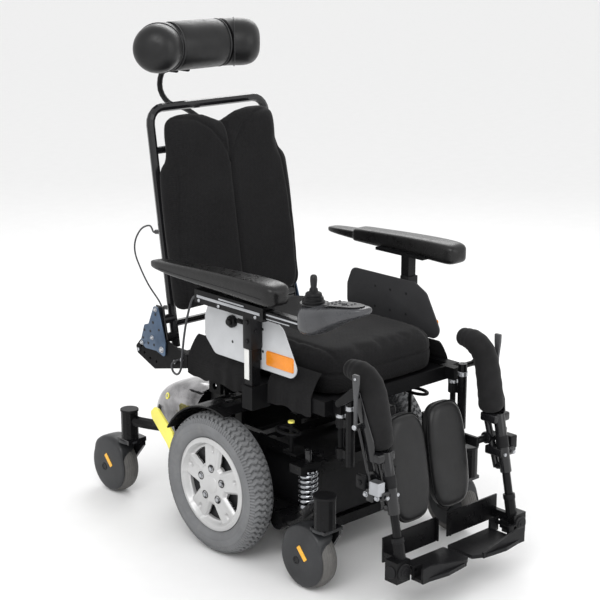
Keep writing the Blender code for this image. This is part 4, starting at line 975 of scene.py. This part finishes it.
def joystick():
    """Kidney-shaped pod with a dark raised keypad, rows of dots, and a stick in a ribbed boot."""
    x, y, _ = STICK
    rings = []
    for place, middle, wide, low, high in mm((-349.5, -300, 14, 662, 684), (-352, -300, 27, 652, 692),
            (-357, -299.5, 38, 646, 696.5), (-366, -299, 45.5, 642.5, 698.5),
            (-380, -299, 48.5, 641.5, 699), (-400, -299.5, 47.8, 643, 699.5), (-420, -300, 45, 652, 700.5),
            (-440, -299.5, 41.5, 661, 702.5), (-460, -298.5, 38.5, 669, 703.5),
            (-480, -297, 35.5, 676.5, 704.5), (-500, -295.5, 31.5, 682, 705),
            (-515, -294.5, 26.2, 686.5, 704.5), (-524.5, -294, 19.5, 690, 703),
            (-529.5, -294, 12, 693.5, 700.5)):
        top, under = high + rise(place), low + (rise(place) - rise(0)) * 1.5
        rings.append([(middle + a, place, (under + top) / 2 + b)
            for a, b in oval((0, 0), wide, (top - under) / 2, 3.2, 44)])
    shell = subdivide(loft(rings))
    bar = [box((-0.306, -0.362, 0.643), (-0.282, -0.010, 0.661), 0.002), box((-0.312, -0.368, 0.6435),
        (-0.276, -0.335, 0.667), 0.004)]
    piece(shell, "joystick_shell", "joystick", "pod", ["joystick_pod"])
    bar.append(box((-0.3075, -0.350, 0.640), (-0.2805, -0.218, 0.6615), 0.002))
    fitting(bar, "joystick_bar", "joystick", "paint")
    # Thin silver strips on the black bar's outer face: painted highlights along its edges.
    highlight_strips = [box((-0.3085, -0.345, 0.6530), (-0.3072, -0.222, 0.6570), 0.0004),
        box((-0.3085, -0.300, 0.6440), (-0.3072, -0.222, 0.6465), 0.0004)]
    fitting(highlight_strips, "joystick_bar_painted_highlights", "joystick")
    pad = []
    for lift, inset in ((0.0, 0.0), (0.0028, 0.0006), (0.0040, 0.0028)):
        ring = []
        for place, wide in mm((-412, 20), (-418, 27), (-440, 28.5), (-470, 26.5), (-495, 23.5),
                (-510, 18.5), (-518, 10)):
            height = 0.7012 + lift + 0.0025 * min(1, (-0.40 - place) / 0.06) + rise(place)
            ring.append((KEYPAD_X + wide - inset, place + (inset if place > -0.42 else 0), height))
        ring += [(2 * KEYPAD_X - a, b, c) for a, b, c in reversed(ring)]
        pad.append(ring)
    piece(subdivide(loft(pad)), "joystick_keypad", "joystick", "keypad")
    dots = []
    for row, (place, wide) in enumerate(((-0.432, 0.019), (-0.450, 0.018), (-0.486, 0.014))):
        for k in (-1, 0, 1) if row else (-1.2, -0.4, 0.4, 1.2):
            dots.append(turned(mm((0, 2.6), (1.6, 2.4), (2.8, 1.4), (3.2, 0), (0, 0)), (0, 0, 1),
                (KEYPAD_X + k * wide * 0.75, place, 0.7070 + rise(place)), 16))
    fitting(dots, "joystick_keys", "joystick", "pod")
    button = turned(mm((0, 711.8), (3.5, 711.6), (5.5, 710.6), (6.1, 709), (6.1, 700), (0, 700)),
        (0, 0, 1), (x, BUTTON_Y, rise(BUTTON_Y)), 28)
    piece(button, "power_button_cap", "power_button", "pod", ["power_button"])
    ring = turned(mm((23.5, 698.5), (30, 699), (31.5, 700.5), (30, 702.2), (24, 702.2), (22.8, 700.5),
        (23.5, 698.5)), (0, 0, 1), (x, y, 0.010), 56)
    piece(ring, "joystick_bezel", "joystick", "keypad")
    skirt = turned(mm((25, 700), (25.4, 703), (25, 706.6), (23.2, 708), (22.2, 708.6), (22.6, 711),
        (21.8, 714.6), (15, 715), (0, 715), (0, 700)), (0, 0, 1), (x, y, 0.010), 56)
    obj = piece(skirt, "joystick_boot_skirt", None, "plastic")
    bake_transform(obj)
    boot = turned(mm((20.6, 714.4), (21, 715.4), (20.4, 716.4), (18.2, 717), (18.6, 719.5), (17.8, 723.5),
        (16, 725), (12, 726.2), (9.8, 728), (9.2, 733), (8, 735), (0, 735), (0, 714.4)), (0, 0, 1),
        (x, y, 0.010), 56)
    obj = piece(boot, "joystick_boot", None, "plastic")
    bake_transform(obj)
    knob = turned(mm((0, 775.2), (4, 774.7), (6.8, 772.2), (8, 767.5), (8, 761), (7.4, 753), (6.8, 748),
        (7, 744), (7.2, 742.5), (6, 741.5), (4.5, 741), (4.5, 678), (0, 678)), (0, 0, 1), (x, y, 0), 40)
    piece(knob, "joystick_knob", "stick", "keypad", ["joystick_stick"])


joystick()


# ---------------------------------------------------------------- springs and leads


COIL_TURNS, COIL_STEPS = 6, 26
COIL_RADIUS, COIL_FOOT, COIL_LENGTH = 0.0200, 0.1815, 0.0735


def springs():
    for side, s in SIDES:
        centre, path = (s * 0.2, -0.246), []
        for i in range(COIL_TURNS * COIL_STEPS + 1):
            turn = 2 * math.pi * i / COIL_STEPS
            path.append((centre[0] + COIL_RADIUS * math.cos(turn), centre[1] + COIL_RADIUS
                * math.sin(turn), COIL_FOOT + COIL_LENGTH * i / (COIL_TURNS * COIL_STEPS)))
        coil = tube(path, 0.0045, 0, 4)
        obj = piece(coil, f"shock_coil_{side}", None, "chrome", [f"shock_spring_{side}"])
        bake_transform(obj)
        seats = [turned(mm((0, 257.5), (21.5, 257.5), (24, 260), (24, 264), (0, 264)), (0, 0, 1),
            (*centre, 0), 40), rod((*centre, 0.222), (*centre, 0.262), 0.0100, 0.002)]
        fitting(seats, f"shock_top_{side}", "base", "chrome")
        piece(rod((*centre, 0.262), (*centre, 0.312), 0.0085, 0.002), f"shock_rod_{side}", "base",
            "gloss")
        foot = [turned(mm((0, 170), (22.5, 170), (24, 174), (21.5, 178.5), (0, 178.5)), (0, 0, 1),
            (*centre, 0), 40), turned(mm((0, 140), (8.5, 140), (10.5, 144), (10.5, 166), (8.5, 170),
            (0, 170)), (0, 0, 1), (*centre, 0), 6)]
        fitting(foot, f"shock_foot_{side}", f"suspension_{side}", "chrome")


JOYSTICK_LEAD = mm((-294, 32, 652), (-294, 60, 634), (-290, 86, 585), (-284, 108, 530), (-278, 125, 475),
    (-268, 144, 434), (-256, 174, 410), (-246, 204, 408), (-242, 214, 422), (-241.5, 204, 433),
    (-237.5, 196, 438), (-231.5, 196, 438))


CABLE_X, CABLE_TOP, CABLE_FOOT = -0.190, 0.295, 0.100


def leads():
    path = smooth_path(JOYSTICK_LEAD, 8)
    obj = piece(tube(path, 0.0028, 0, 4), "joystick_lead_jacket", None, "lead",
        ["joystick_lead"])
    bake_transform(obj)
    stop, below = (up_back(CABLE_X, CABLE_TOP, behind) for behind in (-0.0305, -0.040))
    foot_stop, above = (up_back(CABLE_X, CABLE_FOOT, behind) for behind in (-0.0305, -0.040))
    route = [stop, below, (-0.192, stop[1] + 0.022, 0.750), (-0.196, 0.388, 0.738), (-0.198, 0.412, 0.706),
        (-0.198, 0.416, 0.672), (-0.197, 0.398, 0.636), (-0.195, 0.366, 0.594),
        (-0.192, foot_stop[1] + 0.022, 0.560), above, foot_stop]
    path = smooth_path(route, 8)
    obj = piece(tube(path, 0.0022, 0, 4), "recline_cable_jacket", "back", "lead",
        ["recline_cable"])


springs()
leads()


# ---------------------------------------------------------------- panels, covers and hardware


def disc(place, axis, radius, height, lip=0.0006, sides=28):
    """A low round boss or bolt head standing on a face."""
    return turned([(0, height), (radius - lip, height), (radius, height - lip), (radius, -0.0004),
        (0, -0.0004)], axis, place, sides)


PANEL = (0.2385, 0.2430)
REFLECTOR = mm((-242, 507), (-242, 541), (-150, 541), (-150, 507))


def side_panels():
    """Armrest side panels with six holes and a reflector each: the near one pale grey, the far one dark."""
    outline = mm((-256, 512), (-236, 492), (40, 492), (78, 530), (78, 580), (60, 625), (-165, 625),
        (-205, 604))
    for side, s in SIDES:
        shape = side_plate(outline, 0.022, 6, s, *PANEL, 0.0012, 3)
        shade = "panel" if s < 0 else "far_panel"
        piece(shape, f"side_panel_{side}_cover", f"arm_{side}", shade,
            [f"side_panel_{side}"])
        holes = []
        for y in (-0.026, -0.080, -0.136):
            for z in (0.536, 0.590):
                holes += [disc((s * face, y, z), (way, 0, 0), 0.0036, 0.0003, 0.0002, 16)
                    for face, way in ((PANEL[1], s), (PANEL[0], -s))]
        fitting(holes, f"side_panel_{side}_holes", f"arm_{side}", "keypad")
        rim = tube([(s * 0.2432, *p) for p in rounded(REFLECTOR, 0.004, 4)]
            + [(s * 0.2432, -0.242, 0.512)], 0.0012, 0, 2)
        lens = side_plate(REFLECTOR, 0.004, 4, s, PANEL[1], 0.2462, 0.0010)
        piece(lens, f"reflector_{side}_lens", f"arm_{side}", "orange")
        piece(rim, f"reflector_{side}_frame", f"arm_{side}", "orange")
    knob = joined(disc((-0.2430, -0.030, 0.588), (-1, 0, 0), 0.0150, 0.0130, 0.003, 10),
        disc((-0.2560, -0.030, 0.588), (-1, 0, 0), 0.0090, 0.0060, 0.002), rod((-0.2440, -0.048, 0.593),
        (-0.2440, -0.066, 0.593), 0.0060, 0.001))
    piece(knob, "side_panel_right_knob", "arm_right", "plastic")


def arm_hardware():
    for side, s in SIDES:
        x, y = 0.262, -0.120
        strip = [box((s * (x - 0.004), y + 0.0131, 0.470), (s * (x + 0.0125), y + 0.0150, 0.628), 0.0006),
            box((s * (x + 0.0131), y - 0.004, 0.470), (s * (x + 0.0146), y + 0.0125, 0.628), 0.0005)]
        fitting(strip, f"arm_post_{side}_scale", f"arm_{side}", "white")
        clamp = [box((s * (x - 0.017), y - 0.0170, 0.545), (s * (x + 0.0185), y + 0.0130, 0.632), 0.0025),
            disc((s * (x + 0.0180), y - 0.003, 0.612), (s, 0, 0), 0.0060, 0.0040, 0.001, 6),
            disc((s * (x + 0.0180), y - 0.003, 0.566), (s, 0, 0), 0.0060, 0.0040, 0.001, 6),
            disc((s * (x + 0.004), y - 0.0172, 0.590), (0, -1, 0), 0.0050, 0.0030, 0.001, 6)]
        fitting(clamp, f"arm_post_{side}_clamp", f"arm_{side}", "plastic")
    # Thin silver strips on the black joystick guide: painted highlights along its edges.
    guide = [box((-0.3135, -0.205, 0.6490), (-0.3122, 0.020, 0.6560), 0.0004),
        box((-0.3135, -0.150, 0.6585), (-0.3122, -0.060, 0.6625), 0.0004)]
    fitting(guide, "joystick_guide_painted_highlights", "arm_right")
    screws = [disc((-0.3122, y, 0.6430), (-1, 0, 0), 0.0042, 0.0030, 0.001, 20)
        for y in (-0.190, -0.060, 0.012)]
    fitting(screws, "joystick_guide_screws", "arm_right")


BRACKET = (0.2322, 0.2362)


def recline_brackets():
    """Blue-plated drilled brackets bolted outside each back tube, and the bolts of the fixed quadrant."""
    outline = mm((276, 556), (292, 560), (316, 508), (334, 502), (352, 452), (330, 440), (286, 442),
        (250, 432), (247, 470))
    for side, s in SIDES:
        shape = side_plate(outline, 0.007, 4, s, *BRACKET, 0.0008)
        face = s * BRACKET[1]
        marks, heads = [], []
        for y, z, r in mm((285, 538, 4), (296, 515, 4), (308, 490, 3.6), (333, 488, 3.6), (340, 466, 3.6),
                (318, 456, 3.6), (294, 456, 3.6), (272, 500, 3.6)):
            marks.append(disc((face, y, z), (s, 0, 0), r, 0.0004, 0.0002, 16))
        for y, z, r in mm((262, 450, 8.5), (284, 551, 5.8), (344, 452, 5.8), (300, 474, 5.8)):
            heads += [disc((face, y, z), (s, 0, 0), r, 0.0022, 0.0008, 24), disc((face + s * 0.002, y, z),
                (s, 0, 0), r * 0.7, 0.0035, 0.0008, 6)]
        piece(shape, f"recline_bracket_{side}", "back", "zinc")
        fitting(marks, f"recline_bracket_{side}_holes", "back", "keypad")
        fitting(heads, f"recline_bracket_{side}_bolts", "back")
        lower = [disc((s * 0.2312, y, z), (s, 0, 0), 0.0055, 0.0040, 0.001, 6)
            for y, z in ((0.186, 0.440), (0.214, 0.428), (0.366, 0.428))]
        fitting(lower, f"quadrant_bolts_{side}", "seat")


def rear_cover():
    """Glossy dark rear dome with a cheek either side and a yellow-ringed bolt."""
    stations = mm((100, 0), (142, 1), (162, 4), (175, 11), (184, 23), (188.5, 42), (190.5, 70),
        (191.5, 110))
    spine = mm((165, 352), (205, 355), (250, 352), (298, 343), (337, 326), (364, 301), (379, 270),
        (383, 240), (378, 214), (367, 198))
    middle = Vector((0.220, 0.215))
    verts, faces = [], []
    xs = [-x for x, _ in reversed(stations)] + [-0.05, 0.0, 0.05] + [x for x, _ in stations]
    drops = [d for _, d in reversed(stations)] + [0, 0, 0] + [d for _, d in stations]
    path = [Vector(p) for p in spine]
    for x, drop in zip(xs, drops):
        for place in path:
            inward = (middle - place) * min(drop / (middle - place).length, 0.92)
            verts.append((x, place.x + inward.x, place.y + inward.y))
    count = len(path)
    for i in range(len(xs) - 1):
        for j in range(count - 1):
            faces.append((i * count + j, (i + 1) * count + j, (i + 1) * count + j + 1, i * count + j + 1))
    dome = subdivide(thickened(mesh_object("dome", verts, faces), 0.003), 2)
    # The streaks in the dome's colour are painted reflections.
    piece(dome, "rear_dome", "base", "shell", ["rear_shroud"])
    for side, s in SIDES:
        cheek = (s * 0.93, 0.25, 0.27), (s * 0.1878, 0.3064, 0.3054)
        ring = turned(mm((4.6, -4), (8.5, -4), (9, 0.5), (7, 1.6), (5, 1), (4.6, -4)), *cheek, 32)
        piece(ring, f"rear_dome_{side}_ring", "base", "yellow")
        bolt = turned(mm((0, 1.2), (4, 1.2), (4.4, 0), (4.4, -4), (0, -4)), *cheek, 24)
        piece(bolt, f"rear_dome_{side}_bolt", "base", "steel")


PADDLE_X = 0.238


def freewheel_paddles():
    for side, s in SIDES:
        x = s * PADDLE_X
        blade = mm((202, 173), (222, 171), (244, 203), (306, 259), (309, 275), (294, 290), (278, 288),
            (219, 240))
        shape = side_plate(blade, 0.006, 4, s, PADDLE_X - 0.004, PADDLE_X + 0.004, 0.0022, 3)
        pivot = rod((s * 0.2225, 0.212, 0.182), (x + s * 0.005, 0.212, 0.182), 0.0085, 0.001)
        piece(joined(shape, pivot), f"freewheel_{side}_paddle", f"freewheel_{side}",
            "yellow", [f"freewheel_lever_{side}"])


def tie_downs():
    for side, s in SIDES:
        x = s * 0.206
        ring = [(x + s * (0.014 + 0.018 * math.cos(t)), -0.196 + 0.034 * math.sin(t), 0.350)
            for t in [2 * math.pi * i / 40 for i in range(41)]]
        loop = joined(tube(ring, 0.0042, 0, 4), rod((x - s * 0.003, -0.190, 0.288),
            (x - s * 0.003, -0.190, 0.366), 0.0045, 0.001))
        arm = box((s * 0.158, -0.214, 0.2855), (s * 0.210, -0.166, 0.2920), 0.001)
        dot = disc((x - s * 0.003, -0.190, 0.3655), (0, 0, 1), 0.0078, 0.0046, 0.001)
        piece(joined(loop, arm), f"tie_down_{side}", "base", "rail")
        piece(dot, f"tie_down_{side}_mark", "base", "yellow")


def bored(obj, start, end, radius):
    """The shape with a round hole through it."""
    drill = rod(start, end, radius)
    step = obj.modifiers.new("bore", "BOOLEAN")
    step.operation, step.solver, step.object = "DIFFERENCE", "EXACT", drill
    obj = applied(obj)
    bpy.data.objects.remove(drill, do_unlink=True)
    return obj


LEG_X = 0.192


def on_leg(s, z):
    """A point at height z on the middle line of a leg's lower tube."""
    return (s * LEG_X, -0.493 + (z - 0.36) * math.tan(LEG_LEAN), z)


def leg_frames():
    """Elevating frames: knee strap hidden behind the foam, two tubes, a clamp, a thin strut."""
    for side, s in SIDES:
        x = s * LEG_X
        strap = mm((-413, 506), (-437, 506), (-482, 400), (-486, 352), (-462, 350), (-455, 400))
        parts = [
            side_plate(strap, 0.006, 3, s, 0.2193, 0.2245, 0.0008),
            box((s * 0.170, -0.500, 0.350), (s * 0.2240, -0.450, 0.372), 0.005, 3),
            rod(on_leg(s, 0.372), on_leg(s, 0.232), 0.0138, 0.001),
            rod((x, -0.452, 0.362), (x, -0.490, 0.236), 0.0085, 0.001),
            rod((x, -0.490, 0.240), on_leg(s, 0.246), 0.0085, 0.002),
            box((s * 0.177, -0.516, 0.268), (s * 0.226, -0.462, 0.289), 0.004, 3),
            rod((s * 0.229, -0.441, 0.428), (s * 0.229, -0.484, 0.285), 0.0035),
            rod((s * 0.222, -0.441, 0.428), (s * 0.2345, -0.441, 0.428), 0.0055),
            rod((s * 0.178, -0.462, 0.306), (s * 0.206, -0.462, 0.306), 0.0150, 0.003),
            box((s * 0.226, -0.492, 0.262), (s * 0.2345, -0.470, 0.296), 0.002),
        ]
        for number in (2, 4, 5):
            parts[number] = bored(parts[number], on_leg(s, 0.190), on_leg(s, 0.345), 0.0106)
        piece(joined(*parts), f"leg_{side}_frame", f"leg_{side}", "gloss",
            [f"leg_frame_{side}"])
        lock = box((s * 0.2150, -0.513, 0.281), (s * 0.2375, -0.482, 0.313), 0.0025, 3)
        piece(lock, f"leg_{side}_lock_block", f"leg_{side}", "steel" if s < 0 else "plastic")


SKIRTS = (("front", -0.288, -0.1400), ("rear", -0.1000, 0.160))
SKIRT_TOP, SKIRT_TUCK, SKIRT_HEM = 0.507, 0.457, 0.4105


def seat_skirts():
    """Wrinkled cloth flaps that hang from the cushion over the seat rails, parted at the arm socket."""
    for side, s in SIDES:
        for part, start, end in SKIRTS:
            steps = max(8, int((end - start) / 0.005))
            rows = 14
            verts = []
            for i in range(steps + 1):
                y = start + (end - start) * i / steps
                for j in range(rows + 1):
                    share = j / rows
                    fold = 0.0016 * math.sin(y * 95 + 1.7 * math.sin(y * 31))
                    fold += 0.0012 * math.sin(y * 41 + 2.0)
                    hem = SKIRT_HEM + 0.0035 * math.sin(y * 52 + s) + 0.002 * math.sin(y * 120)
                    slope = min(1, share / 0.55)
                    if share < 0.55:
                        z = SKIRT_TOP - 0.050 * slope ** 1.3
                    else:
                        z = SKIRT_TUCK + (hem - SKIRT_TUCK) * (share - 0.55) / 0.45
                    out = 0.1965 + 0.0345 * slope ** 0.9 + fold * share
                    verts.append((s * out, y, z))
            flap = thickened(mesh_object("flap", verts, skin(steps + 1, rows + 1, ring=False)), 0.0016)
            obj = piece(flap, f"seat_skirt_{side}_{part}", "seat", "fabric")


def collar(s, height, bore, radius, length):
    """A ring round a leg's lower tube."""
    edge = radius - 0.0004
    profile = [(bore, 0.0), (edge, 0.0), (radius, 0.002), (radius, length - 0.002), (edge, length),
        (bore, length), (bore, 0.0)]
    return turned(profile, (0, math.sin(LEG_LEAN), math.cos(LEG_LEAN)), on_leg(s, height), 36)


def leg_hardware():
    """Clamps, caps, pivot covers and fittings of the leg rests."""
    for side, s in SIDES:
        caps = [turned(mm((0, 0), (12, 0), (12.8, 0.8), (12.8, 8.5), (11.8, 10), (0, 10.4)), (0, 0, 1),
            (s * 0.190, -0.345, 0.4160), 32), turned(mm((11.2, 0), (12.2, 0), (12.4, 10), (11.2, 11),
            (11.2, 0)), (0, 0, 1), (s * 0.190, -0.375, 0.4400), 32)]
        fitting(caps, f"hanger_{side}_caps", f"hanger_{side}")
        piece(collar(s, 0.292, 0.0128, 0.0154, 0.028), f"leg_{side}_collar", f"leg_{side}",
            "plastic")
        bolts = []
        for y, z in ((-0.470, 0.277), (-0.505, 0.277)):
            bolts += [disc((s * 0.2330, y, z), (s, 0, 0), 0.0070, 0.0020, 0.0006, 24),
                disc((s * 0.2350, y, z), (s, 0, 0), 0.0050, 0.0035, 0.0008, 6)]
        for out in (0.184, 0.216):
            bolts.append(disc((s * out, -0.5200, 0.277), (0, -1, 0), 0.0050, 0.0035, 0.0008, 6))
        bolts.append(disc((s * 0.2245, -0.425, 0.500), (s, 0, 0), 0.0085, 0.0018, 0.0008, 28))
        fitting(bolts, f"leg_{side}_bolts", f"leg_{side}")
        cover = [disc((s * 0.201, -0.5600, 0.108), (0, -1, 0), 0.0200, 0.0035, 0.0015, 40),
            disc((s * 0.201, -0.5634, 0.108), (0, -1, 0), 0.0120, 0.0016, 0.0008, 36),
            disc((s * 0.201, -0.5648, 0.108), (0, -1, 0), 0.0045, 0.0016, 0.0008, 6),
            disc((s * 0.222, -0.541, 0.108), (s, 0, 0), 0.0150, 0.0030, 0.0012, 36)]
        fitting(cover, f"foot_{side}_pivot_cover", f"foot_{side}", "plastic")
        piece(collar(s, 0.1675, 0.0100, 0.0146, 0.012), f"foot_{side}_collar", f"foot_{side}",
            "plastic")
        blade = mm((-432.5, 550), (-433, 530), (-437.2, 490), (-438, 420), (-444, 420), (-444.8, 490),
            (-450, 530), (-450.5, 550))
        piece(side_plate(blade, 0.0028, 3, s, 0.2352, 0.2420, 0.0015), f"release_{side}_blade",
            f"release_{side}", "lever", [f"release_lever_{side}"])
        spoon = [disc((s * 0.2420, -0.441, 0.428), (s, 0, 0), 0.0062, 0.0030, 0.001, 28),
            disc((s * 0.2420, -0.4415, 0.540), (s, 0, 0), 0.0036, 0.0018, 0.0008, 24)]
        fitting(spoon, f"release_{side}_fitting", f"release_{side}")


side_panels()
arm_hardware()
recline_brackets()
rear_cover()
freewheel_paddles()
tie_downs()
leg_frames()
seat_skirts()
leg_hardware()


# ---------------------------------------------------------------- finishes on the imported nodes


FINISHES = {
    "chassis_frame": "paint", "battery_box": "battery", "control_module": "plastic", "seat_frame": "rail",
    "tilt_actuator_body": "plastic", "tilt_actuator_ram": "chrome", "back_frame": "gloss",
    "headrest_stem": "plastic", "joystick_gimbal": "steel",
}
SIDE_FINISHES = {
    "motor": "hub", "arm_post": "paint", "front_arm": "paint", "caster_fork_front": "gloss",
    "caster_fork_rear": "gloss", "leg_hanger": "paint", "foot_tube": "paint", "footplate": "plastic",
}


def finish_nodes():
    """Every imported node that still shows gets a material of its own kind."""
    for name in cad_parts:
        obj = bpy.data.objects.get(name)
        if obj and not obj.hide_render:
            kind = FINISHES.get(name) or SIDE_FINISHES[name.rsplit("_", 1)[0]]
            obj.data.materials.clear()
            obj.data.materials.append(MATERIALS[kind])


finish_nodes()


# ---------------------------------------------------------------- floor, light and camera


FLOOR = 70
LIT_POINT = Vector((0, 0, 0.55))
LIGHTS = (("key", (-2.6, -1.6, 3.0), 2.2, 60), ("fill", (0.6, -3.2, 1.8), 2.4, 26),
    ("rim", (2.0, 1.9, 2.6), 1.8, 30))
CAMERA_PLACE = (-2.516, -2.7245, 1.586)
CAMERA_DIP, CAMERA_TURN = 14.99, -42.54
LENS, SENSOR = 92.75, 36


def stage():
    corners = [(-FLOOR, -FLOOR, 0), (FLOOR, -FLOOR, 0), (FLOOR, FLOOR, 0), (-FLOOR, FLOOR, 0)]
    floor = mesh_object("floor", corners, [(0, 1, 2, 3)])
    floor.data.materials.append(MATERIALS["floor"])
    world = bpy.data.worlds.new("studio")
    world.use_nodes = True
    world.node_tree.nodes["Background"].inputs["Color"].default_value = (1, 1, 1, 1)
    world.node_tree.nodes["Background"].inputs["Strength"].default_value = 1.0
    bpy.context.scene.world = world
    for name, place, size, power in LIGHTS:
        light = bpy.data.lights.new(name, "AREA")
        light.size, light.energy = size, power
        lamp = linked(name, light)
        lamp.location = place
        lamp.rotation_euler = (LIT_POINT - Vector(place)).to_track_quat("-Z", "Y").to_euler()
    camera = linked("camera", bpy.data.cameras.new("camera"))
    camera.data.lens, camera.data.sensor_width = LENS, SENSOR
    camera.location = CAMERA_PLACE
    camera.rotation_euler = (math.radians(90 - CAMERA_DIP), 0, math.radians(CAMERA_TURN))
    bpy.context.scene.camera = camera
    bpy.context.scene.view_settings.view_transform = "Standard"


stage()
